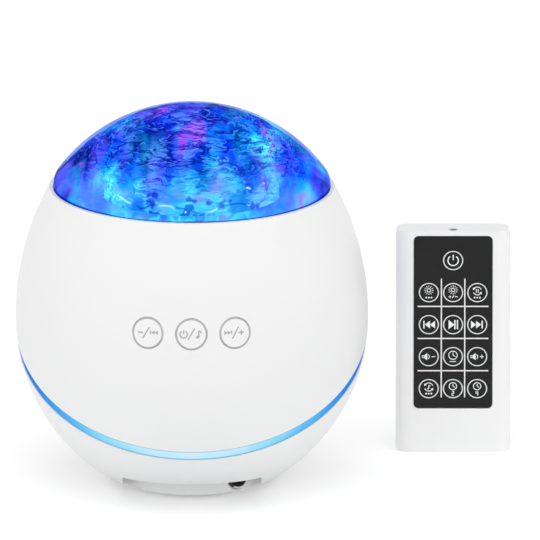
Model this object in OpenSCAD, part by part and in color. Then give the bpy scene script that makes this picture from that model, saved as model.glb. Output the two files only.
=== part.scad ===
// Egg-shaped night light that throws moving water light through a clear dome.
// A slanted light ring parts the two white shells, three buttons sit on the front,
// and a small remote control stands beside it.
// Millimetres. Up is +Z, the buttons face -Y, and the origin is the middle of the foot.

/* [Egg body] */
// Widest diameter of the body
body_d = 132; // [126:1:140]
// Height of the widest level above the table
belly_z = 64; // [61:0.5:67]
// Diameter of the rim round the dome
rim_d = 106.7; // [104:0.1:110]
// Height of the rim round the dome
rim_z = 113.7; // [111:0.1:117]
// Diameter of the lower shell's bottom edge
base_d = 61.9; // [59:0.1:66]
// Height of the lower shell's bottom edge
skirt_z = 2.2; // [1.6:0.1:3]
// Flat width of the lower shell's bottom edge
skirt_land = 2.2; // [1.6:0.1:3]
// Wall of both shells
wall = 2.4; // [2:0.1:3]

/* [Light ring] */
// Slope of the ring, low at the front
ring_tilt = 31; // [24:1:33]
// Height at which the ring's plane crosses the middle axis
ring_z = 56.3; // [53:0.1:59]
// Visible width of the ring
ring_w = 4.8; // [3.4:0.2:7]
// Depth of the ring's face behind the shells
ring_recess = 0.3; // [0.1:0.05:0.6]
// Overlap of the ring's lip behind each shell
ring_lip_h = 2.5; // [1.5:0.25:4]
// Thickness of the ring's lip
ring_lip_t = 1.8; // [1.2:0.1:2.4]
// Width of the light strip behind the ring
strip_w = 6; // [4:0.5:8]

/* [Dome and bezel] */
// Height of the dome's cap above its upright part
dome_h = 27.5; // [25:0.25:30]
// Wall of the clear dome
dome_wall = 2.2; // [1.6:0.1:3]
// Upright part of the dome above the rim
dome_skirt_h = 3.2; // [2:0.2:6]
// Round of the dome's shoulder
dome_shoulder_r = 6; // [4:0.5:9]
// Depth of the dome's foot below the rim
dome_seat = 4; // [3:0.25:5]
// Thickness of the shell's lip round the dome
rim_lip = 1.4; // [1:0.1:1.8]
// Thickness of the bezel that hides the gears
bezel_t = 1.5; // [1.2:0.1:2.5]

/* [Turning lens] */
// Radius of the lens's gear as a share of the dome's radius
lens_share = 0.65; // [0.6:0.005:0.66]
// Teeth on the lens carrier
lens_teeth = 56; // [50:2:60]
// Teeth on the motor's pinion
pinion_teeth = 14; // [12:1:15]
// Width of the gear teeth
gear_w = 4; // [3:0.25:5]
// Thinning of each tooth for free running
gear_play = 0.16; // [0.1:0.02:0.24]
// Height of the lens's cap above its upright part
lens_h = 26; // [20:0.5:27]
// Wall of the lens
lens_wall = 2; // [1.6:0.1:2.6]
// Upright part of the lens
lens_skirt_h = 4; // [3:0.25:6]
// Radius of the ball that cuts each ripple hollow
ripple_r = 7; // [6:0.5:9]
// Depth of the ripple hollows
ripple_depth = 0.7; // [0.4:0.1:0.9]
// Wall of the carrier's tube
carrier_wall = 2; // [1.6:0.1:2.4]
// Radial clearance of the carrier on its collar
bearing_gap = 0.06; // [0.03:0.01:0.1]

/* [Light deck] */
// Drop of the deck below the dome's seat
deck_drop = 14; // [13:0.5:17]
// Thickness of the deck
deck_t = 2.5; // [2:0.1:3.5]
// Wall of the bearing collar
collar_wall = 1.8; // [1.4:0.1:2.4]
// Diameter of the deck's screw bosses
boss_d = 6.8; // [6:0.2:7.4]
// Direction of the motor from the middle, turned from +X
motor_turn = 135; // [125:1:145]
// Diameter of the motor
motor_d = 24; // [20:0.5:26]
// Height of the motor
motor_h = 14; // [10:0.5:18]
// Diameter of the motor's shaft
shaft_d = 3; // [2.5:0.1:4]
// Size of a light emitter
led_w = 5; // [3.5:0.25:6]
// Distance of the outer emitters from the middle
led_ring_r = 14; // [11:0.5:17]

/* [Buttons] */
// Diameter of a button
button_d = 11.6; // [10:0.2:12.6]
// Height of the buttons
button_z = 74.4; // [72:0.2:78]
// Turn between neighbouring buttons
button_step = 14.4; // [14:0.2:18]
// Travel of a button
button_travel = 0.5; // [0.3:0.05:0.8]
// Gap round a button
button_gap = 0.25; // [0.15:0.05:0.4]
// Width of the flange behind the shell
button_flange = 1.5; // [1:0.1:1.9]
// Depth of the button board behind the shell
board_gap = 13; // [12:0.5:15]

/* [Base] */
// Thickness of the foot ring
foot_t = 1; // [0.6:0.1:1.4]
// Width of the foot ring
foot_w = 6; // [4:0.5:7]
// Distance of the foot ring from the cover's outside
foot_inset = 4.2; // [3:0.1:5]
// Gap in the foot ring for the sound
foot_gap_turn = 50; // [30:5:70]
// Floor of the bottom cover
cover_t = 1.6; // [1.4:0.1:2]
// Wall of the bottom cover
cover_wall = 2; // [1.6:0.1:2.4]
// Width of the bevel round the cover's lower edge
cover_bevel_w = 2.2; // [1.6:0.1:2.6]
// Height of that bevel
cover_bevel_h = 0.7; // [0.5:0.1:0.9]
// Height of the inner ledge's underside
ledge_z = 11; // [10.5:0.25:13]
// Thickness of the inner ledge
ledge_t = 2; // [1.6:0.1:3]
// Width of the notch for the power cord as a share of the bottom edge
notch_share = 0.837; // [0.75:0.01:0.9]
// Height of the notch's top
notch_z = 9.4; // [8:0.1:9.6]
// Sideways place of the power socket as a share of the cover's radius
socket_share = 0.605; // [0.56:0.005:0.62]
// Height of the power socket's middle
socket_z = 6.1; // [5.9:0.05:6.5]
// Bore of the power socket
socket_bore = 4.2; // [3.6:0.1:4.6]
// Diameter of the power socket's pin
socket_pin = 1.6; // [1.2:0.1:1.8]
// Radius of the speaker as a share of the cover's radius
speaker_share = 0.58; // [0.52:0.01:0.6]
// Height of the speaker with its magnet
speaker_h = 17; // [15:0.5:19]
// Rim of the main board outside its pillars
main_board_rim = 4; // [2:0.5:8]
// Height of the main board
main_board_z = 34; // [33:0.5:40]
// Height at which the pillars meet the deck's legs
pillar_z = 46; // [43:0.5:52]

/* [Remote control] */
// Width of the remote
remote_w = 43; // [40:0.5:48]
// Depth of the remote
remote_d = 12; // [12:0.25:14]
// Height of the remote
remote_h = 86; // [84:0.5:94]
// Round of the remote's long edges
remote_edge_r = 5; // [4:0.25:5.5]
// Round of the remote's end corners
remote_end_r = 1.5; // [1:0.25:3]
// Wall of the remote
remote_wall = 1.8; // [1.6:0.1:2]
// Width of the black overlay
overlay_w = 29.5; // [28.5:0.25:31]
// Height of the black overlay
overlay_h = 67; // [66:0.5:70]
// Gap between the overlay and the remote's top end
overlay_top = 1.8; // [1.6:0.1:2.6]
// Diameter of a key
key_d = 7.6; // [6.6:0.1:8]
// Sideways distance between keys
key_dx = 9.1; // [8.8:0.1:9.6]
// Drop of the top key below the overlay's upper edge
key_top = 9.4; // [8:0.1:9.6]
// Height of the lowest keys above the overlay's lower edge
key_bottom = 7.6; // [6.8:0.1:9]
// Travel of a key
key_travel = 0.25; // [0.15:0.05:0.3]
// Diameter of the coin cell
cell_d = 20; // [18:0.5:20]
// Thickness of the coin cell
cell_t = 3.2; // [2:0.1:3.2]
// Width of the battery door
door_w = 25; // [24:0.25:27]
// Thickness of the battery door
door_t = 1.6; // [1.4:0.1:1.8]
// Sideways place of the remote beside the projector
remote_x = 98; // [95:0.5:110]
// Distance of the remote's front behind the projector's middle
remote_y = 36; // [28:0.5:44]

/* [Hidden] */
$fn = 96;
// Small overshoot of cutting shapes
eps = 0.5;
// Length that passes right through the body
far = 2 * body_d;
// Clearance between fixed pieces that slide together
fit = 0.2;
// Clearance of a screw in its thread
thread_fit = 0.05;
// Radius of an arc from its sideways and upright reach, in whole hundredths so that arcs meet exactly
function arc_through(side, rise) = round((side * side + rise * rise) / side * 50) / 100;
upper_arc_r = arc_through((body_d - rim_d) / 2, rim_z - belly_z);
lower_arc_r = arc_through((body_d - base_d) / 2, belly_z - skirt_z);
upper_off = upper_arc_r - body_d / 2;
lower_off = lower_arc_r - body_d / 2;
function egg_r(z, inset = 0) =
    z >= belly_z
        ? sqrt(pow(upper_arc_r - inset, 2) - pow(z - belly_z, 2)) - upper_off
        : sqrt(pow(lower_arc_r - inset, 2) - pow(belly_z - z, 2)) - lower_off;

// Dome, seat and bezel
seat_z = rim_z - dome_seat;
opening_r = egg_r(rim_z) - rim_lip;
dome_r = opening_r - fit;
shelf_w = boss_d + 0.6;
shelf_t = 2;
bezel_r = dome_r - dome_wall - fit;
dome_cap_r = arc_through(dome_h, dome_r);
dome_cap_z = rim_z + dome_skirt_h + dome_h - dome_cap_r;

// Lens drive
lens_pitch_r = lens_share * dome_r;
gear_module = 2 * lens_pitch_r / lens_teeth;
gear_add = 0.9 * gear_module;
gear_ded = 1.15 * gear_module;
pinion_pitch_r = gear_module * pinion_teeth / 2;
centre_gap = 0.1;
centre_d = lens_pitch_r + pinion_pitch_r + centre_gap;
pressure_turn = 20;
carrier_r = lens_pitch_r - gear_ded;
carrier_bore_r = carrier_r - carrier_wall;
collar_r = carrier_bore_r - bearing_gap;
collar_in_r = collar_r - collar_wall;
lens_gap = 1.2;
ripple_rings = 3;

// Heights round the deck
deck_z = seat_z - deck_drop;
thrust_h = 0.8;
thrust_gap = 0.2;
carrier_z = deck_z + thrust_h + thrust_gap;
carrier_top = seat_z - 1;
gear_lift = 1;
pinion_w = gear_w + 1;
pinion_bore_gap = 0.02;
boss_pitch_r = opening_r - boss_d / 2 - 0.3;
deck_r = boss_pitch_r + boss_d / 2 + 0.6;
lens_top_z = carrier_top + lens_skirt_h;
lens_cap_r = arc_through(lens_h, carrier_r);
lens_cap_z = lens_top_z + lens_h - lens_cap_r;
collar_top = carrier_top - 1.5;
deck_turns = [0, 90, 180, 270];
deck_grip = 6.5;
wire_hole_d = 4;
ear_t = 1.5;
ear_w = 6;
ear_reach = motor_d / 2 + 3.5;
motor_boss_d = 5;
motor_boss_h = 3;
led_h = 1.2;
eye_w = 6;
eye_d = 4;
eye_h = 6.5;
eye_r = 2;

// Screws
small_d = 2;
small_head_d = 3.8;
small_head_h = 1.5;
mid_d = 2.6;
mid_head_d = 5;
mid_head_h = 1.8;
tie_d = 3;
tie_head_d = 5.6;
tie_head_h = 2.2;

// Button and its board
flange_gap = 0.2;
flange_t = 1.2;
flange_r = button_d / 2 + button_flange;
button_stem_d = 4;
board_t = 1.6;
switch_w = 6;
switch_h = 3.5;
plunger_d = 3.4;
plunger_h = 1.5;
stem_gap = 0.1;
wall_in_r = egg_r(button_z, wall);
board_y = wall_in_r - board_gap;
plunger_y = board_y + switch_h + plunger_h;
stem_y = plunger_y + button_travel + stem_gap;
board_boss_d = 5;
board_boss_x = (wall_in_r + wall) * sin(button_step) + flange_r + board_boss_d / 2 + 1;
board_h = 14;
board_grip = 4;
board_half = board_boss_x + board_boss_d / 2 + 0.5;

// Base
cover_gap = 0.3;
cover_r = egg_r(skirt_z) - skirt_land - cover_gap;
cover_in_r = cover_r - cover_wall;
floor_z = foot_t + cover_t;
ledge_top = ledge_z + ledge_t;
cover_post_d = 8;
cover_boss_d = 6;
cover_boss_h = 7;
cover_pitch_r = cover_in_r - cover_post_d / 2 + 0.6;
cover_head_up = 2.6;
pillar_d = 9.6;
pillar_neck_d = 7;
pillar_pitch_r = cover_r - tie_head_d / 2 - fit;
pillar_head_up = 4.5;
leg_d = 8;
tie_grip = 10;
cover_turns = [30, 150, 270];
pillar_turns = [90, 210, 330];
foot_r = cover_r - foot_inset;
notch_w = notch_share * base_d;
main_board_r = pillar_pitch_r + pillar_neck_d / 2 + main_board_rim;
socket_nose_d = 6.2;
socket_w = 7.6;
socket_len = 11;
socket_face_d = 7.8;
socket_x = socket_share * cover_r;
socket_sink = 1.4;
socket_face_gap = 0.3;
socket_floor_t = 2;
socket_seat_y = sqrt(pow(cover_r, 2) - pow(socket_x, 2)) - socket_sink;
socket_back_y = sqrt(pow(cover_in_r, 2) - pow(socket_x + socket_w / 2, 2)) - 2 * fit;
socket_h = 2 * (socket_z - floor_z);

chip_w = main_board_r * 0.36;
chip_d = main_board_r * 0.3;
chip_h = 2;
can_d = 6.3;
can_h = 9;
plug_w = 8;
plug_d = 5;
plug_h = 6;
plug_step = main_board_r * 0.36;

// Speaker
speaker_r = speaker_share * cover_r;
speaker_rim = 2;
speaker_rim_t = 1.2;
speaker_fence = 1;
speaker_fence_h = 2;
speaker_hole_r = speaker_r - speaker_rim;
basket_h = speaker_h * 0.6;
magnet_r = speaker_r * 0.62;
coil_r = speaker_r * 0.28;
coil_h = 3;
paper_t = 0.6;
basket_t = 1;
basket_slot_w = 5;
grille_rings = 3;
grille_step = speaker_hole_r * 0.22;
grille_d = 1.8;

// Remote
remote_mid_y = remote_y + remote_d / 2;
overlay_t = 0.5;
overlay_deep = 0.6;
overlay_r = 2;
overlay_top_z = remote_h - overlay_top;
key_rows = 4;
key_dz = (overlay_h - key_top - key_bottom) / key_rows;
key_gap = 0.15;
key_stem_d = key_d - 1.8;
key_sink = key_travel + 0.2;
key_skin = 0.05;
dome_clear = 0.15;
snap_t = 0.2;
remote_board_y = remote_wall + key_travel + dome_clear + snap_t + 0.6;
remote_board_t = 1;
remote_board_side = 3;
remote_post_d = 3;
bay_wall = 1.2;
bay_floor_y = remote_board_y + remote_board_t + 0.7;
cell_lift = 0.4;
cell_y = bay_floor_y + bay_wall + cell_lift;
cell_gap = 0.3;
door_gap = 0.2;
door_corner_r = 0.4;
door_z = 6;
hinge_r = door_t / 2;
hinge_z = door_z + hinge_r;
hinge_y = remote_d - hinge_r;
cell_z = door_z + 1 + cell_gap + cell_d / 2;
door_screw_z = cell_z + cell_d / 2 + 3.2;
door_top_z = door_screw_z + 3;
door_screw_d = 1.7;
door_screw_hole_d = 2.8;
door_screw_len = 2.6;
door_boss_d = 4.6;
ir_d = 3;
ir_len = 5;
post_x = remote_w / 2 - remote_board_side - 3;
post_z = [remote_wall + 5, remote_h - remote_wall - 12];
ir_y = remote_board_y + remote_board_t / 2;
ir_z = remote_h - ir_len - 0.4;
remote_board_z = remote_wall + 1;
remote_board_top = ir_z - 0.6;
bay_side = 1;
bay_w = door_w - 2 * bay_side;
bay_z = door_z + bay_side;
bay_top = door_screw_z + door_boss_d / 2;
lug_y = remote_d - door_t - door_gap;
pocket_wall = 1;
pocket_y = cell_y + 0.7 * cell_t;
contact_gap = 0.05;
contact_w = 3;

// Remote keys from the top, then row by row from the left
KEY_NODES = [
    "key_power",
    "key_light", "key_brightness", "key_turn",
    "key_previous", "key_play", "key_next",
    "key_volume_down", "key_timer_off", "key_volume_up",
    "key_music", "key_timer_two", "key_timer_four"
];
key_count = len(KEY_NODES);
function key_place(i) =
    i == 0
        ? [0, overlay_top_z - key_top]
        : [((i - 1) % 3 - 1) * key_dx, overlay_top_z - key_top - key_dz * (1 + floor((i - 1) / 3))];

// Half outline of the egg, drawn in by an inset
module egg_half(inset = 0) {
    intersection() {
        translate([-upper_off, belly_z])
            circle(r = upper_arc_r - inset);
        translate([0, belly_z])
            square(far);
    }
    intersection() {
        translate([-lower_off, belly_z])
            circle(r = lower_arc_r - inset);
        translate([0, belly_z - far])
            square(far);
    }
}

// Skin of the egg between two insets and two heights, as a half section
module egg_skin(outer, inner, z0, z1) {
    intersection() {
        difference() {
            egg_half(outer);
            egg_half(inner);
        }
        translate([0, z0])
            square([far, z1 - z0]);
    }
}

// Rectangle of a half section, between two radii and two heights
module section_box(r0, r1, z0, z1) {
    translate([r0, z0])
        square([r1 - r0, z1 - z0]);
}

// Slab parallel to the light ring, between two distances from the ring's plane
module ring_slab(from, to) {
    translate([0, 0, ring_z])
        rotate([ring_tilt, 0, 0])
            translate([-far, -far, from])
                cube([2 * far, 2 * far, to - from]);
}

// Places children on a circle round the middle axis
module on_circle(radius, turns) {
    for (a = turns)
        rotate([0, 0, a])
            translate([radius, 0, 0])
                children();
}

// Screw that points up, with its head below the level of zero
module screw(d, length, head_d, head_h) {
    slot_w = head_d * 0.15;
    difference() {
        union() {
            cylinder(h = length, d = d);
            translate([0, 0, -head_h])
                cylinder(h = head_h, d = head_d);
        }
        for (a = [0, 90])
            rotate([0, 0, a])
                translate([-head_d * 0.3, -slot_w / 2, -head_h - eps])
                    cube([head_d * 0.6, slot_w, head_h * 0.5 + eps]);
    }
}

// Involute gear
function roll(turn) = tan(turn) * 180 / PI - turn;
function tooth_half(r, pitch_r, teeth) =
    let (base_r = pitch_r * cos(pressure_turn), turn = r > base_r ? acos(base_r / r) : 0)
    90 / teeth - gear_play / pitch_r * 90 / PI + roll(pressure_turn) - roll(turn);
module gear_outline(teeth) {
    pitch_r = gear_module * teeth / 2;
    flank = [pitch_r - gear_ded, pitch_r - gear_ded * 0.4, pitch_r, pitch_r + gear_add];
    polygon([
        for (i = [0 : teeth - 1])
            for (side = [-1, 1])
                for (k = [0 : 3])
                    let (r = flank[side < 0 ? k : 3 - k], a = i * 360 / teeth + side * tooth_half(r, pitch_r, teeth))
                        [r * cos(a), r * sin(a)]
    ]);
}

// Half outline of the dome, drawn in by an inset
module dome_half(inset) {
    side_r = dome_r - inset;
    cap_r = dome_cap_r - inset;
    round_r = dome_shoulder_r - inset;
    round_x = dome_r - dome_shoulder_r;
    round_z = dome_cap_z + sqrt(pow(dome_cap_r - dome_shoulder_r, 2) - pow(round_x, 2));
    intersection() {
        translate([0, dome_cap_z])
            circle(r = cap_r);
        polygon([
            [0, dome_cap_z],
            [far * round_x, dome_cap_z + far * (round_z - dome_cap_z)],
            [0, dome_cap_z + far * far]
        ]);
    }
    intersection() {
        translate([round_x, round_z])
            circle(r = round_r);
        section_box(0, far, round_z, far);
    }
    section_box(0, side_r, seat_z - inset, round_z);
}

module outer_dome() {
    color([0.80, 0.90, 1.00, 0.35])
        rotate_extrude()
            difference() {
                dome_half(0);
                dome_half(dome_wall);
                section_box(0, dome_r - dome_wall, seat_z - dome_wall - eps, seat_z + eps);
            }
}

module bezel_ring() {
    color([0.92, 0.94, 0.97])
        rotate_extrude()
            section_box(carrier_r + lens_gap, bezel_r, seat_z, seat_z + bezel_t);
}

// Half outline of the lens's cap, drawn in by an inset
module lens_half(inset) {
    intersection() {
        translate([0, lens_cap_z])
            circle(r = lens_cap_r - inset);
        section_box(0, carrier_r - inset, carrier_top - inset, far);
    }
}

module wave_lens() {
    spread = asin(carrier_r / lens_cap_r) / (ripple_rings + 0.6);
    color([0.10, 0.32, 0.95])
        difference() {
            rotate_extrude()
                difference() {
                    lens_half(0);
                    lens_half(lens_wall);
                }
            for (ring = [0 : ripple_rings])
                for (i = [0 : max(0, 6 * ring - 1)])
                    translate([0, 0, lens_cap_z])
                        rotate([0, ring * spread, i * 60 / max(1, ring) + ring * 13])
                            translate([0, 0, lens_cap_r + ripple_r - ripple_depth])
                                sphere(r = ripple_r, $fn = 32);
        }
}

module lens_carrier() {
    color([0.90, 0.90, 0.88])
        union() {
            rotate_extrude()
                section_box(carrier_bore_r, carrier_r, carrier_z, carrier_top);
            rotate([0, 0, motor_turn])
                translate([0, 0, carrier_z + gear_lift])
                    linear_extrude(gear_w)
                        difference() {
                            gear_outline(lens_teeth);
                            circle(r = carrier_r - carrier_wall / 2);
                        }
        }
}

// Places children at the motor's axis on the deck's level
module at_motor() {
    rotate([0, 0, motor_turn])
        translate([centre_d, 0, deck_z])
            children();
}

module drive_pinion() {
    color([0.85, 0.86, 0.80])
        at_motor()
            translate([0, 0, thrust_h + thrust_gap + gear_lift - (pinion_w - gear_w) / 2])
                rotate([0, 0, 180 + 180 / pinion_teeth])
                    linear_extrude(pinion_w)
                        difference() {
                            gear_outline(pinion_teeth);
                            circle(d = shaft_d + 2 * pinion_bore_gap);
                        }
}

module motor_shaft() {
    color([0.70, 0.72, 0.75])
        at_motor()
            translate([0, 0, -deck_t - motor_h / 2])
                cylinder(h = motor_h / 2 + deck_t + pinion_w + 1.5, d = shaft_d);
}

module gear_motor() {
    color([0.60, 0.62, 0.66])
        at_motor()
            difference() {
                union() {
                    translate([0, 0, -deck_t - motor_h])
                        cylinder(h = motor_h, d = motor_d);
                    translate([-ear_w / 2, -ear_reach - ear_w / 2, -deck_t - ear_t])
                        cube([ear_w, 2 * ear_reach + ear_w, ear_t]);
                }
                translate([0, 0, -deck_t - motor_h / 2 - eps])
                    cylinder(h = motor_h, d = shaft_d + 2 * bearing_gap);
                for (side = [-1, 1])
                    translate([0, side * ear_reach, -deck_t - ear_t - eps])
                        cylinder(h = ear_t + 2 * eps, d = small_d + 2 * fit);
            }
}

module light_deck() {
    color([0.95, 0.95, 0.95])
        difference() {
            union() {
                rotate_extrude() {
                    section_box(0, deck_r, deck_z - deck_t, deck_z);
                    section_box(collar_in_r, collar_r, deck_z - eps, collar_top);
                    section_box(collar_r - eps, collar_r + 3, deck_z - eps, deck_z + thrust_h);
                }
                on_circle(pillar_pitch_r, pillar_turns)
                    translate([0, 0, pillar_z])
                        cylinder(h = deck_z - deck_t / 2 - pillar_z, d = leg_d);
                at_motor()
                    for (side = [-1, 1])
                        translate([0, side * ear_reach, -deck_t / 2])
                            cylinder(h = motor_boss_h + deck_t / 2, d = motor_boss_d);
            }
            on_circle(pillar_pitch_r, pillar_turns)
                translate([0, 0, pillar_z - eps])
                    cylinder(h = tie_grip + 2 * eps, d = tie_d + 2 * thread_fit);
            on_circle(boss_pitch_r, deck_turns)
                translate([0, 0, deck_z - deck_t - eps])
                    cylinder(h = deck_t + 2 * eps, d = mid_d + 2 * fit);
            at_motor() {
                translate([0, 0, -deck_t - eps])
                    cylinder(h = deck_t + 2 * eps, d = shaft_d + wire_hole_d);
                for (side = [-1, 1])
                    translate([0, side * ear_reach, -deck_t - eps])
                        cylinder(h = deck_t + motor_boss_h, d = small_d + 2 * thread_fit);
            }
        }
}

module led_board() {
    color([0.05, 0.35, 0.20])
        translate([0, 0, deck_z])
            difference() {
                cylinder(h = board_t, r = collar_in_r - fit);
                for (side = [-1, 1])
                    translate([side * (led_ring_r + led_w), 0, -eps])
                        cylinder(h = board_t + 2 * eps, d = small_d);
            }
}

module led_emitters() {
    color([0.96, 0.93, 0.70])
        for (i = [0 : 6])
            rotate([0, 0, i * 60 + 30])
                translate([i == 0 ? 0 : led_ring_r, 0, deck_z + board_t]) {
                    translate([-led_w / 2, -led_w / 2, 0])
                        cube([led_w, led_w, led_h]);
                    translate([0, 0, led_h - led_w * 0.1])
                        cylinder(h = led_w * 0.25, d = led_w * 0.8);
                }
}

module ir_receiver() {
    color([0.08, 0.08, 0.10])
        translate([0, -led_ring_r - led_w / 2 - eye_d - fit, deck_z + board_t])
            union() {
                translate([-eye_w / 2, -eye_d / 2, 0])
                    cube([eye_w, eye_d, eye_h]);
                translate([0, -eye_d / 2, eye_h - eye_r - fit])
                    sphere(r = eye_r, $fn = 32);
            }
}

// Solid egg with its surface inside the shells' wall, to trim bosses
module egg_core() {
    rotate_extrude()
        egg_half(wall / 2);
}

// Outward direction of a button, with the height of its middle
module at_button(turn) {
    rotate([0, 0, turn])
        translate([0, 0, button_z])
            rotate([90, 0, 0])
                children();
}

module upper_shell() {
    color([0.96, 0.96, 0.95])
        difference() {
            union() {
                intersection() {
                    rotate_extrude()
                        difference() {
                            union() {
                                egg_skin(0, wall, skirt_z, rim_z);
                                intersection() {
                                    egg_half(wall / 2);
                                    section_box(opening_r - shelf_w, far, seat_z - shelf_t, seat_z);
                                }
                            }
                            section_box(0, opening_r, seat_z, rim_z + eps);
                        }
                    ring_slab(ring_w / 2, far);
                }
                on_circle(boss_pitch_r, deck_turns)
                    translate([0, 0, deck_z])
                        cylinder(h = seat_z - shelf_t / 2 - deck_z, d = boss_d);
                intersection() {
                    egg_core();
                    for (side = [-1, 1])
                        translate([side * board_boss_x, -board_y, button_z])
                            rotate([90, 0, 0])
                                cylinder(h = far, d = board_boss_d);
                }
            }
            on_circle(boss_pitch_r, deck_turns)
                translate([0, 0, deck_z - eps])
                    cylinder(h = deck_grip + 2 * eps, d = mid_d + 2 * thread_fit);
            for (side = [-1, 1])
                translate([side * board_boss_x, -board_y + eps, button_z])
                    rotate([90, 0, 0])
                        cylinder(h = board_grip + 2 * eps, d = small_d + 2 * thread_fit);
            for (turn = [-button_step, 0, button_step])
                at_button(turn)
                    translate([0, 0, board_y])
                        cylinder(h = far, d = button_d + 2 * button_gap);
        }
}

module light_ring() {
    color([0.35, 0.70, 1.00])
        union() {
            intersection() {
                rotate_extrude()
                    egg_skin(ring_recess, wall + fit + ring_lip_t, skirt_z, rim_z);
                ring_slab(-ring_w / 2 + fit / 2, ring_w / 2 - fit / 2);
            }
            intersection() {
                rotate_extrude()
                    egg_skin(wall + fit, wall + fit + ring_lip_t, skirt_z, rim_z);
                ring_slab(-ring_w / 2 - ring_lip_h, ring_w / 2 + ring_lip_h);
            }
        }
}

module ring_led_strip() {
    strip_in = wall + fit + ring_lip_t + 0.1;
    color([0.90, 0.90, 0.75])
        intersection() {
            rotate_extrude()
                egg_skin(strip_in, strip_in + 1, skirt_z, rim_z);
            ring_slab(-strip_w / 2, strip_w / 2);
        }
}

module lower_shell() {
    color([0.94, 0.94, 0.93])
        difference() {
            union() {
                intersection() {
                    rotate_extrude()
                        difference() {
                            union() {
                                egg_skin(0, wall, skirt_z, rim_z);
                                intersection() {
                                    egg_half(wall / 2);
                                    section_box(speaker_hole_r, far, ledge_z, ledge_top);
                                }
                            }
                            section_box(0, cover_r + cover_gap, 0, ledge_z);
                        }
                    ring_slab(-far, -ring_w / 2);
                }
                rotate_extrude()
                    section_box(
                        speaker_r + fit, speaker_r + fit + speaker_fence,
                        ledge_top - ledge_t / 2, ledge_top + speaker_fence_h
                    );
                on_circle(cover_pitch_r, cover_turns)
                    translate([0, 0, ledge_top - ledge_t / 2])
                        cylinder(h = cover_boss_h + ledge_t / 2, d = cover_boss_d);
                on_circle(pillar_pitch_r, pillar_turns)
                    translate([0, 0, ledge_z]) {
                        cylinder(h = main_board_z - ledge_z, d = pillar_d);
                        cylinder(h = pillar_z - ledge_z, d = pillar_neck_d);
                    }
            }
            translate([-notch_w / 2, -far, -eps])
                cube([notch_w, far - cover_r / 4, notch_z + eps]);
            on_circle(cover_pitch_r, cover_turns)
                translate([0, 0, ledge_z - eps])
                    cylinder(h = ledge_t + cover_boss_h - 1, d = mid_d + 2 * thread_fit);
            on_circle(pillar_pitch_r, pillar_turns)
                translate([0, 0, ledge_z - eps]) {
                    cylinder(h = far, d = tie_d + 2 * fit);
                    cylinder(h = pillar_head_up + eps, d = tie_head_d + 2 * fit);
                }
        }
}

module bottom_cover() {
    color([0.93, 0.93, 0.92])
        difference() {
            union() {
                rotate_extrude() {
                    polygon([
                        [0, foot_t],
                        [cover_r - cover_bevel_w, foot_t],
                        [cover_r, foot_t + cover_bevel_h],
                        [cover_r, ledge_z],
                        [cover_in_r, ledge_z],
                        [cover_in_r, floor_z],
                        [0, floor_z],
                    ]);
                }
                on_circle(cover_pitch_r, cover_turns)
                    translate([0, 0, floor_z - cover_t / 2])
                        cylinder(h = ledge_z - floor_z + cover_t / 2, d = cover_post_d);
            }
            on_circle(cover_pitch_r, cover_turns)
                translate([0, 0, foot_t - eps]) {
                    cylinder(h = far, d = mid_d + 2 * fit);
                    cylinder(h = cover_head_up + eps, d = mid_head_d + 2 * fit);
                }
            for (ring = [0 : grille_rings])
                for (i = [0 : max(0, 6 * ring - 1)])
                    rotate([0, 0, i * 60 / max(1, ring)])
                        translate([ring * grille_step, 0, foot_t - eps])
                            cylinder(h = cover_t + 2 * eps, d = grille_d, $fn = 24);
            at_socket() {
                cylinder(h = far, d = socket_nose_d + 2 * fit);
                translate([0, 0, socket_seat_y])
                    cylinder(h = far, d = socket_face_d);
            }
        }
}

// Axis of the power socket, pointing out to the front
module at_socket() {
    translate([socket_x, 0, socket_z])
        rotate([90, 0, 0])
            children();
}

module dc_socket() {
    color([0.06, 0.06, 0.07])
        at_socket() {
            difference() {
                union() {
                    translate([-socket_w / 2, -socket_h / 2, socket_back_y - socket_len])
                        cube([socket_w, socket_h, socket_len]);
                    translate([0, 0, socket_back_y - eps])
                        cylinder(h = socket_seat_y - socket_face_gap - socket_back_y + eps, d = socket_nose_d);
                }
                translate([0, 0, socket_back_y - socket_len + socket_floor_t])
                    cylinder(h = far, d = socket_bore);
            }
            translate([0, 0, socket_back_y - socket_len + socket_floor_t / 2])
                cylinder(h = socket_len - socket_floor_t, d = socket_pin);
        }
}

module foot_ring() {
    color([0.25, 0.25, 0.27])
        rotate([0, 0, 270 + foot_gap_turn / 2])
            rotate_extrude(angle = 360 - foot_gap_turn)
                section_box(foot_r - foot_w, foot_r, 0, foot_t);
}

module push_button(turn) {
    color([0.97, 0.97, 0.96])
        union() {
            intersection() {
                rotate_extrude()
                    egg_skin(0, wall + flange_gap + flange_t, button_z - button_d, button_z + button_d);
                at_button(turn)
                    cylinder(h = far, d = button_d);
            }
            intersection() {
                rotate_extrude()
                    egg_skin(
                        wall + flange_gap, wall + flange_gap + flange_t,
                        button_z - 2 * button_d, button_z + 2 * button_d
                    );
                at_button(turn)
                    cylinder(h = far, r = flange_r);
            }
            intersection() {
                at_button(turn)
                    translate([0, 0, board_y])
                        cylinder(h = wall_in_r - flange_t - board_y, d = button_stem_d);
                translate([-far, -far - stem_y, 0])
                    cube([2 * far, far, far]);
            }
        }
}

module button_board() {
    color([0.05, 0.35, 0.20])
        difference() {
            translate([-board_half, -board_y, button_z - board_h / 2])
                cube([2 * board_half, board_t, board_h]);
            for (side = [-1, 1])
                translate([side * board_boss_x, -board_y + board_t + eps, button_z])
                    rotate([90, 0, 0])
                        cylinder(h = board_t + 2 * eps, d = small_d + 2 * fit);
        }
}

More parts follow.
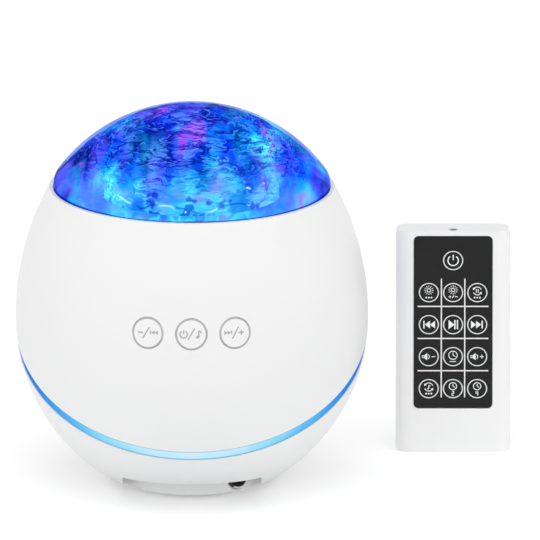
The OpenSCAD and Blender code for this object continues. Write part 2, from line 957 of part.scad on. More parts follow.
module tact_switches() {
    color([0.20, 0.20, 0.22])
        for (turn = [-button_step, 0, button_step])
            translate([plunger_y * tan(turn), -board_y, button_z])
                rotate([90, 0, 0]) {
                    translate([-switch_w / 2, -switch_w / 2, 0])
                        cube([switch_w, switch_w, switch_h]);
                    translate([0, 0, switch_h / 2])
                        cylinder(h = switch_h / 2 + plunger_h, d = plunger_d);
                }
}

module main_board() {
    color([0.05, 0.35, 0.20])
        translate([0, 0, main_board_z])
            difference() {
                cylinder(h = board_t, r = main_board_r);
                on_circle(pillar_pitch_r, pillar_turns)
                    translate([0, 0, -eps])
                        cylinder(h = board_t + 2 * eps, d = pillar_neck_d + 2 * fit);
            }
}

// Chips, capacitors and plugs that stand on the main board
module board_parts() {
    color([0.12, 0.12, 0.14])
        translate([0, 0, main_board_z + board_t]) {
            translate([-chip_w / 2, -chip_d / 2, 0])
                cube([chip_w, chip_d, chip_h]);
            translate([chip_w * 0.8, chip_d * 0.4, 0])
                cube([chip_w * 0.65, chip_d * 0.6, chip_h]);
            translate([-chip_w * 1.25, chip_d * 0.6, 0])
                cylinder(h = can_h, d = can_d);
            translate([-chip_w * 0.75, chip_d * 1.3, 0])
                cylinder(h = can_h * 0.8, d = can_d * 0.8);
            for (side = [-1 : 1])
                translate([side * plug_step - plug_w / 2, -main_board_r * 0.67, 0])
                    cube([plug_w, plug_d, plug_h]);
        }
}

module speaker_frame() {
    back_z = ledge_top + basket_h;
    color([0.15, 0.15, 0.16])
        difference() {
            rotate_extrude() {
                section_box(speaker_hole_r, speaker_r, ledge_top, ledge_top + speaker_rim_t);
                polygon([
                    [speaker_hole_r, ledge_top + speaker_rim_t / 2],
                    [speaker_hole_r + basket_t, ledge_top + speaker_rim_t / 2],
                    [magnet_r, back_z],
                    [magnet_r - basket_t, back_z]
                ]);
                section_box(coil_r + basket_t, magnet_r, back_z - basket_t, back_z);
            }
            for (a = [45 : 90 : 315])
                rotate([0, 0, a])
                    translate([magnet_r / 2, -basket_slot_w / 2, ledge_top + basket_h * 0.35])
                        cube([speaker_r, basket_slot_w, basket_h * 0.3]);
        }
}

module speaker_cone() {
    lip_z = ledge_top + speaker_rim_t / 2;
    deep_z = ledge_top + basket_h * 0.55;
    lip_r = speaker_hole_r - 3 * fit;
    fold_r = lip_r - 2.5 * paper_t;
    color([0.30, 0.30, 0.32])
        rotate_extrude() {
            polygon([
                [lip_r, lip_z], [lip_r, lip_z + paper_t],
                [fold_r, lip_z + paper_t], [coil_r, deep_z + paper_t],
                [coil_r, deep_z + coil_h], [coil_r - paper_t, deep_z + coil_h],
                [coil_r - paper_t, deep_z], [0, deep_z],
                [0, deep_z - paper_t], [coil_r, deep_z - paper_t],
                [fold_r + fit, lip_z]
            ]);
        }
}

module speaker_magnet() {
    color([0.35, 0.36, 0.38])
        translate([0, 0, ledge_top + basket_h])
            cylinder(h = speaker_h - basket_h, r = magnet_r);
}

module tie_screws() {
    color([0.70, 0.71, 0.73])
        on_circle(pillar_pitch_r, pillar_turns)
            translate([0, 0, ledge_z + pillar_head_up])
                screw(tie_d, pillar_z - ledge_z - pillar_head_up + tie_grip, tie_head_d, tie_head_h);
}

module cover_screws() {
    color([0.70, 0.71, 0.73])
        on_circle(cover_pitch_r, cover_turns)
            translate([0, 0, foot_t + cover_head_up])
                screw(mid_d, ledge_top + cover_boss_h - 2 - foot_t - cover_head_up, mid_head_d, mid_head_h);
}

module deck_screws() {
    color([0.70, 0.71, 0.73])
        on_circle(boss_pitch_r, deck_turns)
            translate([0, 0, deck_z - deck_t])
                screw(mid_d, deck_t + deck_grip, mid_head_d, mid_head_h);
}

module small_screws() {
    color([0.70, 0.71, 0.73]) {
        for (side = [-1, 1])
            translate([side * board_boss_x, -board_y + board_t, button_z])
                rotate([90, 0, 0])
                    screw(small_d, board_t + board_grip, small_head_d, small_head_h);
        at_motor()
            for (side = [-1, 1])
                translate([0, side * ear_reach, -deck_t - ear_t])
                    screw(small_d, ear_t + deck_t + motor_boss_h - 1, small_head_d, small_head_h);
    }
}

// Remote: x across, y from the front face to the back, z up
module at_remote() {
    translate([remote_x, remote_y, 0])
        children();
}

// Rectangle with round corners, from its middle
module round_box_2d(w, h, r) {
    square([w, h - 2 * r], center = true);
    difference() {
        square([w - 2 * r, h], center = true);
        square([w, h - 2 * r], center = true);
    }
    for (sx = [-1, 1])
        for (sy = [-1, 1])
            intersection() {
                translate([sx * (w / 2 - r), sy * (h / 2 - r)])
                    circle(r = r);
                translate([sx * (w / 2 - r / 2), sy * (h / 2 - r / 2)])
                    square(r, center = true);
            }
}

// Prism seen from the front, from its lower middle, between two depths
module front_prism(w, h, r, z0, y0, y1) {
    translate([0, y1, z0 + h / 2])
        rotate([90, 0, 0])
            linear_extrude(y1 - y0)
                round_box_2d(w, h, r);
}

// Outer body of the remote
module remote_body() {
    intersection() {
        translate([0, remote_d / 2, 0])
            linear_extrude(remote_h)
                round_box_2d(remote_w, remote_d, remote_edge_r);
        front_prism(remote_w, remote_h, remote_end_r, 0, -eps, remote_d + eps);
    }
}

// Hollow of the remote
module remote_hollow() {
    translate([0, remote_d / 2, remote_wall])
        linear_extrude(remote_h - 2 * remote_wall)
            round_box_2d(remote_w - 2 * remote_wall, remote_d - 2 * remote_wall, remote_edge_r - remote_wall);
}

// One half of the remote between two depths
module remote_half(y0, y1) {
    intersection() {
        difference() {
            remote_body();
            remote_hollow();
        }
        translate([-remote_w, y0, -eps])
            cube([2 * remote_w, y1 - y0, remote_h + 2 * eps]);
    }
}

// Cylinder along the depth of the remote
module depth_rod(x, z, y0, y1, d) {
    translate([x, y1, z])
        rotate([90, 0, 0])
            cylinder(h = y1 - y0, d = d, $fn = 48);
}

module remote_front() {
    color([0.96, 0.96, 0.95])
        at_remote()
            difference() {
                union() {
                    remote_half(-eps, remote_d / 2);
                    for (x = [-post_x, post_x])
                        for (z = post_z)
                            depth_rod(x, z, remote_wall / 2 + overlay_deep, remote_board_y, remote_post_d);
                }
                front_prism(
                    overlay_w + 2 * fit, overlay_h + 2 * fit, overlay_r,
                    overlay_top_z - overlay_h - fit, -eps, overlay_deep
                );
                for (i = [0 : key_count - 1]) {
                    depth_rod(
                        key_place(i)[0], key_place(i)[1], -eps, overlay_deep + key_sink, key_d + 2 * key_gap
                    );
                    depth_rod(
                        key_place(i)[0], key_place(i)[1], -eps, remote_board_y - 0.1, key_stem_d + 2 * key_gap
                    );
                }
                translate([0, ir_y, ir_z])
                    cylinder(h = far, d = ir_d + 2 * fit, $fn = 48);
            }
}

module remote_overlay() {
    color([0.05, 0.05, 0.06])
        at_remote()
            difference() {
                front_prism(
                    overlay_w, overlay_h, overlay_r - fit,
                    overlay_top_z - overlay_h, overlay_deep - overlay_t, overlay_deep
                );
                for (i = [0 : key_count - 1])
                    depth_rod(
                        key_place(i)[0], key_place(i)[1], -eps, overlay_deep + eps, key_d + 2 * key_gap
                    );
            }
}

module remote_key(i) {
    stem_end = remote_board_y - snap_t - dome_clear - key_travel;
    color([0.05, 0.05, 0.06])
        at_remote()
            union() {
                depth_rod(
                    key_place(i)[0], key_place(i)[1], overlay_deep - overlay_t - key_skin, overlay_deep, key_d
                );
                depth_rod(
                    key_place(i)[0], key_place(i)[1], overlay_deep - overlay_t / 2, stem_end, key_stem_d
                );
            }
}

module remote_board() {
    color([0.05, 0.35, 0.20])
        at_remote()
            translate([-remote_w / 2 + remote_board_side, remote_board_y, remote_board_z])
                cube([remote_w - 2 * remote_board_side, remote_board_t, remote_board_top - remote_board_z]);
}

module snap_domes() {
    color([0.75, 0.75, 0.72])
        at_remote()
            for (i = [0 : key_count - 1])
                depth_rod(
                    key_place(i)[0], key_place(i)[1], remote_board_y - snap_t, remote_board_y, key_stem_d * 0.8
                );
}

module ir_emitter() {
    color([0.45, 0.45, 0.60])
        at_remote()
            translate([0, ir_y, ir_z])
                cylinder(h = ir_len, d = ir_d, $fn = 48);
}

module remote_back() {
    color([0.94, 0.94, 0.93])
        at_remote()
            difference() {
                union() {
                    difference() {
                        remote_half(remote_d / 2, remote_d + eps);
                        front_prism(
                            door_w + 2 * door_gap, door_top_z - door_z + 2 * door_gap, door_corner_r,
                            door_z - door_gap, lug_y - eps, remote_d + eps
                        );
                    }
                    difference() {
                        translate([-bay_w / 2 - bay_wall - 1, bay_floor_y, bay_z - 2 * bay_wall])
                            cube([
                                bay_w + 2 * bay_wall + 2,
                                lug_y - bay_floor_y,
                                bay_top - bay_z + 4 * bay_wall
                            ]);
                        translate([-bay_w / 2, bay_floor_y + bay_wall, bay_z])
                            cube([bay_w, remote_d, bay_top - bay_z]);
                    }
                    depth_rod(
                        0, cell_z, bay_floor_y + bay_wall / 2, pocket_y,
                        cell_d + 2 * (cell_gap + pocket_wall)
                    );
                    depth_rod(0, door_screw_z, bay_floor_y + bay_wall / 2, lug_y - fit, door_boss_d);
                }
                depth_rod(0, cell_z, bay_floor_y + bay_wall, remote_d, cell_d + 2 * cell_gap);
                depth_rod(0, door_screw_z, bay_floor_y + bay_wall, remote_d, door_screw_hole_d);
                translate([0, ir_y, ir_z])
                    cylinder(h = far, d = ir_d + 2 * fit, $fn = 48);
            }
}

module coin_cell() {
    color([0.80, 0.81, 0.82])
        at_remote()
            union() {
                depth_rod(0, cell_z, cell_y, cell_y + 0.8, cell_d - 3);
                depth_rod(0, cell_z, cell_y + 0.4, cell_y + cell_t, cell_d);
            }
}

module cell_contacts() {
    color([0.78, 0.72, 0.45])
        at_remote() {
            depth_rod(0, cell_z, bay_floor_y + bay_wall, cell_y - contact_gap, cell_d * 0.4);
            for (side = [-1, 1])
                translate([side * (cell_d / 2 + contact_gap + pocket_wall / 2), pocket_y, cell_z])
                    translate([-pocket_wall / 2, 0, -contact_w / 2])
                        cube([pocket_wall, 0.2 * cell_t, contact_w]);
        }
}

module battery_door() {
    color([0.94, 0.94, 0.93])
        at_remote()
            difference() {
                union() {
                    translate([-door_w / 2, remote_d - door_t, hinge_z])
                        cube([door_w, door_t, door_top_z - hinge_z]);
                    translate([-door_w / 2, hinge_y, hinge_z])
                        rotate([0, 90, 0])
                            cylinder(h = door_w, r = hinge_r, $fn = 48);
                }
                depth_rod(0, door_screw_z, 0, remote_d + eps, door_screw_d + 2 * thread_fit);
                depth_rod(0, door_screw_z, remote_d - door_t / 2, remote_d + eps, small_head_d + 2 * thread_fit);
                for (k = [0 : 4])
                    translate([-door_w * 0.3, remote_d - 0.4, cell_z - 4 + 2 * k])
                        cube([door_w * 0.6, 1, 0.8]);
            }
}

module door_screw() {
    color([0.70, 0.71, 0.73])
        at_remote()
            translate([0, remote_d - door_t / 2, door_screw_z])
                rotate([90, 0, 0])
                    screw(door_screw_d, door_t / 2 + door_screw_len, small_head_d, door_t / 2 - 0.05);
}

outer_dome();
bezel_ring();
wave_lens();
lens_carrier();
drive_pinion();
motor_shaft();
gear_motor();
light_deck();
led_board();
led_emitters();
ir_receiver();
upper_shell();
light_ring();
ring_led_strip();
lower_shell();
bottom_cover();
foot_ring();
dc_socket();
push_button(-button_step);  // button_minus
push_button(0);  // button_power
push_button(button_step);  // button_plus
button_board();
tact_switches();
main_board();
board_parts();
speaker_frame();
speaker_cone();
speaker_magnet();
tie_screws();
cover_screws();
deck_screws();
small_screws();
remote_front();
remote_back();
remote_overlay();
remote_board();
snap_domes();
ir_emitter();
coin_cell();
cell_contacts();
battery_door();
door_screw();
for (i = [0 : key_count - 1])
    remote_key(i);
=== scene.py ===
# %% [markdown]
# # A night light that throws moving water light, with its remote
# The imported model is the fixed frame: every solid is already in place, in metres.
# This lesson dresses it. The white shells and the remote keep their solids and get
# moulded finishes. The clear dome, the rippled lens and every printed sign are new meshes.

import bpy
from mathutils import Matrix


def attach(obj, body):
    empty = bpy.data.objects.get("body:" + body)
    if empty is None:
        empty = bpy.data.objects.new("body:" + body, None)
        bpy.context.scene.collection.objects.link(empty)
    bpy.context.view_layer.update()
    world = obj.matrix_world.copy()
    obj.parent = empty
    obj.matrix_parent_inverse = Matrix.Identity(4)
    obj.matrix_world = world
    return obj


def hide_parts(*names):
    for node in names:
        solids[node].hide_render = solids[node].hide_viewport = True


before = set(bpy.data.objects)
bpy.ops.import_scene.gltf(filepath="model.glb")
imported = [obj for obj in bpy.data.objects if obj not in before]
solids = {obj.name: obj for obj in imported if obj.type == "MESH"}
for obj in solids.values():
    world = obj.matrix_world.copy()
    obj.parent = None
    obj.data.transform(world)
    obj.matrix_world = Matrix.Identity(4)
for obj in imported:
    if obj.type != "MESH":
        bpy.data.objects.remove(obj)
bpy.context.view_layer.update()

# %% [markdown]
# ## Camera
# A product picture is taken from far away with a long lens, so that upright edges stay
# upright. The camera looks down by about 15 degrees. Its distance follows from the lens
# and from the width that the square picture has to show.

# %% Camera
import math

import bpy
from mathutils import Matrix, Vector, noise

MM = 0.001
LENS_LENGTH = 1600.0
SENSOR_WIDTH = 36.0
FAR_CLIP = 40.0
VIEW_WIDTH = 202 * MM
VIEW_TILT = math.radians(15.5)
VIEW_CENTRE = Vector((29.2, 0.0, 81.1)) * MM

scene = bpy.context.scene
scene.view_settings.view_transform = "Standard"


def place(thing, name):
    """Puts a camera, a lamp or a mesh into the scene as an object."""
    made = bpy.data.objects.new(name, thing)
    scene.collection.objects.link(made)
    return made


camera_data = bpy.data.cameras.new("picture_camera")
camera_data.lens = LENS_LENGTH
camera_data.sensor_width = SENSOR_WIDTH
camera_data.clip_end = FAR_CLIP
camera = place(camera_data, "picture_camera")
camera_distance = VIEW_WIDTH * LENS_LENGTH / SENSOR_WIDTH
towards_camera = Vector((0.0, -math.cos(VIEW_TILT), math.sin(VIEW_TILT)))
camera.location = VIEW_CENTRE + camera_distance * towards_camera
camera.rotation_euler = (math.pi / 2 - VIEW_TILT, 0.0, 0.0)
scene.camera = camera
print(f"camera {camera_distance:.2f} m away")

# %% [markdown]
# ## Finishes from nodes
# A finish is a Principled shader with a few texture nodes before it. Steady values go
# straight on the shader's sockets. Only what varies over the surface gets nodes, and all
# patterns read Object coordinates, because each mesh lies in the shared frame.

# %% Helpers that build a finish
def tint(red, green, blue):
    """A colour given as 0 to 255 screen values, as the linear colour that shaders use."""
    def linear(v):
        v = v / 255
        return v / 12.92 if v <= 0.04045 else ((v + 0.055) / 1.055) ** 2.4
    return (linear(red), linear(green), linear(blue), 1.0)


def fill(tree, socket, value):
    """Links a socket to another node's output, or sets it to a plain value."""
    if isinstance(value, bpy.types.NodeSocket):
        tree.links.new(value, socket)
    else:
        socket.default_value = value


def add_node(tree, kind, inputs=None, **settings):
    """Adds a shader node, sets its options, and fills its inputs."""
    made = tree.nodes.new("ShaderNode" + kind)
    for option, value in settings.items():
        setattr(made, option, value)
    for socket, value in (inputs or {}).items():
        fill(tree, made.inputs[socket], value)
    return made


def vary(tree, shader, **values):
    """Gives a shader's sockets their values. A space in a socket's name is written as _."""
    for socket, value in values.items():
        fill(tree, shader.inputs[socket.replace("_", " ")], value)


def new_finish(name, **steady):
    """A material with one Principled shader. Steady values are set on its own sockets."""
    finish = bpy.data.materials.new(name)
    finish.use_nodes = True
    shader = finish.node_tree.nodes["Principled BSDF"]
    vary(finish.node_tree, shader, **steady)
    return finish, finish.node_tree, shader


print("helpers that build a finish are ready")

# %% [markdown]
# Patterns are sums on numbers and on points, so a few small helpers for arithmetic keep the
# finishes short. Noise gives the soft unevenness of real surfaces, a smooth step turns it
# into a share, and a ramp turns a share into colours.

# %% Helpers that make patterns
def object_point(tree):
    """The point of the surface, in the shared frame."""
    return add_node(tree, "TexCoord").outputs["Object"]


def axis(tree, point, letter):
    """One coordinate of a point."""
    return add_node(tree, "SeparateXYZ", {0: point}).outputs[letter]


def reckon(tree, way, *values, clamp=False):
    """One step of arithmetic on numbers."""
    return add_node(tree, "Math", dict(enumerate(values)), operation=way, use_clamp=clamp).outputs[0]


def reckon_points(tree, way, *points):
    """One step of arithmetic on points, each coordinate by itself."""
    return add_node(tree, "VectorMath", dict(enumerate(points)), operation=way).outputs[0]


def cloud(tree, point, scale, detail, distortion=0.0, shift=(0.0, 0.0, 0.0), output=0):
    """Soft noise between 0 and 1, or three such noises as a point with output 1.
    A shift gives another part of the same endless noise."""
    moved = add_node(tree, "Mapping", {"Vector": point, "Location": shift})
    return add_node(tree, "TexNoise", {
        "Vector": moved.outputs[0], "Scale": scale, "Detail": detail, "Distortion": distortion,
    }).outputs[output]


def spread(tree, value, low, high, to_low, to_high):
    """Turns a value between low and high into one between to_low and to_high, smoothly."""
    return add_node(tree, "MapRange", {
        "Value": value, "From Min": low, "From Max": high, "To Min": to_low, "To Max": to_high,
    }, interpolation_type="SMOOTHSTEP").outputs[0]


def colour_steps(tree, value, steps):
    """A colour ramp from pairs of place and colour."""
    ramp = add_node(tree, "ValToRGB", {"Fac": value})
    marks = ramp.color_ramp.elements
    while len(marks) < len(steps):
        marks.new(1.0)
    for mark, (at, colour) in zip(marks, steps):
        mark.position = at
        mark.color = colour
    return ramp.outputs["Color"]


def blend_colours(tree, share, first, second):
    """Mixes two colours by a share."""
    made = add_node(tree, "Mix", data_type="RGBA")
    for index, value in ((0, share), (6, first), (7, second)):
        fill(tree, made.inputs[index], value)
    return made.outputs[2]


def roughen(tree, shader, height, strength, distance):
    """Fine relief from a texture."""
    bump = add_node(tree, "Bump", {"Height": height, "Strength": strength, "Distance": distance})
    vary(tree, shader, Normal=bump.outputs[0])


print("helpers that make patterns are ready")

# %% [markdown]
# ## Studio
# The picture has a white ground and soft light from above. The world and the floor are white
# for rays that show them as a picture, directly, in gloss or through clear plastic. For all
# other rays they are a plain level of light, so white plastic keeps its shading.

# %% World
WHITE = (1.0, 1.0, 1.0, 1.0)
SKY_FRONT = 0.66
SKY_BACK = 0.42


def seen_like_a_picture(tree):
    """1 for rays that show the background itself, 0 for rays that light the object."""
    path = add_node(tree, "LightPath").outputs
    direct = reckon(tree, "MAXIMUM", path["Is Camera Ray"], path["Is Glossy Ray"])
    return reckon(tree, "MAXIMUM", direct, path["Is Transmission Ray"])


world = bpy.data.worlds.new("studio")
world.use_nodes = True
scene.world = world
tree = world.node_tree
sky = tree.nodes["Background"]
depth = axis(tree, add_node(tree, "TexCoord").outputs["Generated"], "Y")
soft_box = add_node(tree, "MapRange", {
    "Value": depth, "From Min": -1.0, "From Max": 1.0, "To Min": SKY_FRONT, "To Max": SKY_BACK})
level = add_node(tree, "Mix", {0: seen_like_a_picture(tree), 2: soft_box.outputs[0], 3: 1.0})
vary(tree, sky, Color=WHITE, Strength=level.outputs[0])
print(f"sky from {SKY_FRONT} in front to {SKY_BACK} behind")

# %% [markdown]
# One high, wide sun gives the soft shadow under the belly. Three lower suns model the front
# and keep gaps and hollows readable. Two level suns fill the sides. The fills cast no
# shadows, so that the projector doesn't darken the remote, and only they show in gloss.

# %% Suns
SUN_SPREAD = math.radians(45.0)
SUNS = (
    ("top_key", 0.0, 6.0, 0.68, True),
    ("front_key", 0.0, 78.0, 0.2, True),
    ("left_key", -42.0, 72.0, 0.36, True),
    ("right_key", 42.0, 72.0, 0.36, True),
    ("left_fill", -76.0, 89.0, 0.45, False),
    ("right_fill", 76.0, 89.0, 0.42, False),
)
for name, turn, tilt, strength, casts_shadow in SUNS:
    lamp = bpy.data.lights.new(name, "SUN")
    lamp.energy = strength
    lamp.angle = SUN_SPREAD
    lamp.use_shadow = casts_shadow
    sun = place(lamp, name)
    sun.rotation_euler = (math.radians(tilt), 0.0, math.radians(turn))
    sun.visible_glossy = not casts_shadow
print(f"{len(SUNS)} suns")

# %% [markdown]
# The floor is one large square just under the foot. It is matt, so it takes the shadow, and
# it glows a little for the camera, so that the ground comes out white.

# %% Floor
import bmesh

FLOOR_COLOUR = (0.9, 0.9, 0.9, 1.0)
FLOOR_LIFT = 0.29
FLOOR_HALF = 6.0
FLOOR_DROP = -0.05 * MM

floor_finish, tree, shader = new_finish(
    "pale_floor", Base_Color=FLOOR_COLOUR, Roughness=0.9, Specular_IOR_Level=0.0, Emission_Color=WHITE)
vary(tree, shader, Emission_Strength=spread(tree, seen_like_a_picture(tree), 0.0, 1.0, 0.0, FLOOR_LIFT))
bm = bmesh.new()
bmesh.ops.create_grid(bm, x_segments=1, y_segments=1, size=FLOOR_HALF)
bmesh.ops.translate(bm, verts=bm.verts, vec=(0.0, 0.0, FLOOR_DROP))
floor_mesh = bpy.data.meshes.new("floor")
bm.to_mesh(floor_mesh)
bm.free()
floor_mesh.materials.append(floor_finish)
place(floor_mesh, "floor")
print(f"floor of {2 * FLOOR_HALF:.0f} m")

# %% [markdown]
# ## White shells
# The egg, the buttons and the remote are moulded in white plastic with a satin gloss. Such
# a surface is never quite even: the colour drifts a little, the gloss changes where hands
# touch it, and a very fine grain softens reflections. Noise gives all three, and the solids
# already have the right shape, so they only need the finish.

# %% White moulded plastic
def moulded_plastic(name, light, dark, gloss, grain):
    """Moulded plastic with a drift of colour, an uneven gloss and a fine grain."""
    finish, tree, shader = new_finish(name, Specular_IOR_Level=0.22)
    point = object_point(tree)
    drift = cloud(tree, point, 26.0, 2.0)
    smears = cloud(tree, point, 90.0, 4.0, shift=(3.0, 1.0, 2.0))
    vary(tree, shader,
         Base_Color=colour_steps(tree, drift, [(0.3, dark), (0.7, light)]),
         Roughness=spread(tree, smears, 0.3, 0.7, gloss - 0.015, gloss + 0.015))
    roughen(tree, shader, cloud(tree, point, 2600.0, 2.0), grain, 0.01 * MM)
    return finish


def dress(finish, *names):
    """Gives solids of the frame a finish."""
    for name in names:
        solids[name].data.materials.clear()
        solids[name].data.materials.append(finish)
    print(f"{finish.name}: {', '.join(names)}")


white_plastic = moulded_plastic("white_plastic", tint(243, 243, 243), tint(242, 242, 242), 0.4, 0.04)
# Painted light: the remote's white is paler than the egg's, to brighten the remote beside the projector.
remote_plastic_painted_paler = moulded_plastic("remote_plastic_painted_paler", tint(250, 250, 250), tint(249, 249, 249), 0.4, 0.04)
dress(white_plastic, "upper_shell", "lower_shell", "bottom_cover",
      "button_minus", "button_power", "button_plus")
dress(remote_plastic_painted_paler, "remote_front", "remote_back", "battery_door")

# %% [markdown]
# ## Light ring
# The slanted ring between the shells is frosted plastic with a lamp strip behind it. Its
# light is painted nearly white at the front, a painted brightness, and turns to deep blue
# at the sides and at the back. A ramp along the depth gives that. Both edges are painted
# darker, as painted shade where the ring meets the shells.

# %% Glowing ring
BODY_RADIUS = 66.0 * MM
RING_TILT = math.radians(31.0)
RING_HEIGHT = 56.3 * MM
RING_HALF = 2.3 * MM
RING_SHADE_EDGE = (RING_HALF - 0.75 * MM, RING_HALF - 0.3 * MM)
RING_COLOURS = [
    (0.045, tint(206, 236, 248)), (0.06, tint(188, 234, 250)), (0.095, tint(152, 225, 248)),
    (0.18, tint(98, 192, 242)), (0.28, tint(66, 164, 238)), (0.42, tint(44, 134, 228)),
    (0.6, tint(36, 118, 212)), (1.0, tint(34, 100, 198))]

ring_glow, tree, shader = new_finish(
    "ring_glow", Base_Color=tint(20, 30, 48), Roughness=0.35, Specular_IOR_Level=0.0, Emission_Strength=1.0)
point = object_point(tree)
# Painted brightness: the glow is paler towards the front.
front_share = spread(tree, axis(tree, point, "Y"), -BODY_RADIUS, 0.4 * BODY_RADIUS, 0.0, 1.0)
flicker = spread(tree, cloud(tree, point, 120.0, 2.0), 0.3, 0.7, -0.006, 0.006)
glow = colour_steps(tree, reckon(tree, "ADD", flicker, front_share), RING_COLOURS)
ring_axis = (0.0, -math.sin(RING_TILT), math.cos(RING_TILT))
slope = add_node(tree, "VectorMath", {0: point, 1: ring_axis}, operation="DOT_PRODUCT").outputs["Value"]
off_middle = reckon(tree, "SUBTRACT", slope, RING_HEIGHT * math.cos(RING_TILT))
# Painted shade: the glow is darker towards both edges of the ring.
edge_shade_share = spread(tree, reckon(tree, "ABSOLUTE", off_middle), *RING_SHADE_EDGE, 0.0, 0.7)
vary(tree, shader, Emission_Color=blend_colours(tree, edge_shade_share, glow, tint(88, 140, 196)))
dress(ring_glow, "light_ring")

# %% [markdown]
# ## Water light
# Coloured lamps shine through a rippled lens, so the dome shows tall columns of blue, cyan,
# violet, teal and magenta, cut by flat wavy lines. A painted picture would show seams on a
# dome, so one function mixes the colours from noise instead. Noise that is stretched upwards
# gives the columns. A thin band of noise that is pressed flat gives each dark ripple line,
# with a fainter pale line beside it, as where a ripple bends the light.

# %% Colours of the water light
NAVY = tint(2, 16, 108)
BLOT_COLOURS = [
    (0.33, tint(2, 18, 116)), (0.40, tint(5, 48, 190)), (0.46, tint(10, 84, 228)),
    (0.52, tint(24, 134, 244)), (0.58, tint(48, 196, 248)), (0.66, tint(124, 240, 252))]
PATCHES = (
    (11.0, 0.46, 0.62, 0.72, tint(126, 108, 246)),
    (17.0, 0.52, 0.64, 0.8, tint(4, 146, 184)),
    (23.0, 0.6, 0.72, 0.85, tint(226, 62, 228)),
)
LINE_WIDTH = 0.05
PALE_LEVEL = 0.59
DARK_LEVELS = (0.41, 0.5)


def level_line(tree, value, middle, width):
    """1 where a value is at its middle, 0 further off than a width: a thin wavy line."""
    off = reckon(tree, "ABSOLUTE", reckon(tree, "SUBTRACT", value, middle))
    return spread(tree, off, 0.0, width, 1.0, 0.0)


def bend(tree, point, push, reach, stretch):
    """Pushes a point about by a reach, then stretches the pattern that reads it."""
    pull = reckon_points(tree, "MULTIPLY", push, (reach, reach, reach))
    return reckon_points(tree, "MULTIPLY", reckon_points(tree, "ADD", point, pull), stretch)


def add_patches(tree, colour, rows, point, scale, detail, place_of):
    """Lays patches of other hues over a colour. Each row has its own part of the noise."""
    for shift, low, high, top, hue in rows:
        patch = cloud(tree, point, scale, detail, shift=place_of(shift))
        colour = blend_colours(tree, spread(tree, patch, low, high, 0.0, top), colour, hue)
    return colour


def water_light(tree, seed, ripple_scale, ripple_share, lift):
    """Returns the colour of the light and the mask of the dark ripple lines.
    A lift above 0 turns the blots paler, and one below 0 turns them darker."""
    point = object_point(tree)
    twist = cloud(tree, point, 60.0, 2.0, shift=(seed, 0.0, 0.0), output=1)
    push = reckon_points(tree, "SUBTRACT", twist, (0.5, 0.5, 0.5))
    flat = bend(tree, point, push, 6 * MM, (0.6, 1.2, 4.0))
    tall = bend(tree, point, push, 9 * MM, (1.6, 0.5, 0.4))

    blots = cloud(tree, tall, 52.0, 3.0, shift=(seed, 5.0, 0.0))
    colour = colour_steps(tree, reckon(tree, "ADD", blots, lift), BLOT_COLOURS)
    colour = add_patches(tree, colour, PATCHES, tall, 58.0, 2.0, lambda shift: (seed, shift, 3.0))

    broad = cloud(tree, flat, 0.45 * ripple_scale, 2.0, 0.6, shift=(seed, 2.0, 9.0))
    shade = reckon(tree, "MULTIPLY", spread(tree, broad, 0.5, 0.66, 0.0, 0.75), ripple_share)
    colour = blend_colours(tree, shade, colour, tint(6, 40, 158))

    waves = cloud(tree, flat, ripple_scale, 1.0, 0.12, shift=(seed, 0.0, 7.0))
    gaps = cloud(tree, flat, 0.7 * ripple_scale, 1.0, shift=(seed, 6.0, 1.0))
    strokes = reckon(tree, "MULTIPLY", spread(tree, gaps, 0.4, 0.52, 0.1, 1.0), ripple_share)
    pale = reckon(tree, "MULTIPLY", level_line(tree, waves, PALE_LEVEL, LINE_WIDTH), strokes)
    colour = blend_colours(tree, reckon(tree, "MULTIPLY", pale, 0.36), colour, tint(140, 216, 255))
    darks = [level_line(tree, waves, middle, LINE_WIDTH) for middle in DARK_LEVELS]
    dark = reckon(tree, "MULTIPLY", reckon(tree, "MAXIMUM", *darks), strokes)
    return blend_colours(tree, reckon(tree, "MULTIPLY", dark, 0.92), colour, NAVY), dark


print("colours of the water light are ready")

# %% [markdown]
# ## Clear dome
# The dome is one moulding: a smooth outside, and an inside that carries the ripples and
# catches the coloured light. Its half outline starts as one vertex at the pole. Spinning
# that vertex about the cap's centre draws the cap, a second spin draws the shoulder, and
# an extrude draws the upright part. A full spin about the middle axis makes the shell.

# %% Outlines by spins
UPRIGHT = (0.0, 0.0, 1.0)
SIDEWAYS = (0.0, 1.0, 0.0)


def only_verts(geometry):
    """The vertices of what an operator returns."""
    return [item for item in geometry if isinstance(item, bmesh.types.BMVert)]


def draw_arc(bm, start, centre, turn, steps):
    """Spins one vertex about an axis along Y, and returns the last vertex of the arc."""
    made = bmesh.ops.spin(bm, geom=[start], cent=centre, axis=SIDEWAYS, angle=turn, steps=steps)
    return only_verts(made["geom_last"])[0]


def draw_down(bm, start, height, steps):
    """Extrudes one vertex straight down to a height, in equal steps."""
    drop = (height - start.co.z) / steps
    for _ in range(steps):
        start = bmesh.ops.extrude_vert_indiv(bm, verts=[start])["verts"][0]
        bmesh.ops.translate(bm, verts=[start], vec=(0.0, 0.0, drop))


def turn_full(bm, before, steps):
    """Spins all vertices and edges that were not there before into a full shell."""
    outline = [item for item in (*bm.verts, *bm.edges) if item not in before]
    bmesh.ops.spin(bm, geom=outline, cent=(0.0, 0.0, 0.0), axis=UPRIGHT,
                   angle=2 * math.pi, steps=steps, use_merge=True)


def close_shell(bm, name):
    """Merges what the spins doubled, joins the two skins at the foot and turns faces outwards."""
    bmesh.ops.remove_doubles(bm, verts=bm.verts, dist=0.002 * MM)
    bmesh.ops.bridge_loops(bm, edges=[edge for edge in bm.edges if edge.is_boundary])
    bmesh.ops.recalc_face_normals(bm, faces=bm.faces)
    bm.normal_update()
    print(f"{name}: {len(bm.faces)} faces, open edges {sum(edge.is_boundary for edge in bm.edges)}")


print("helpers for outlines are ready")

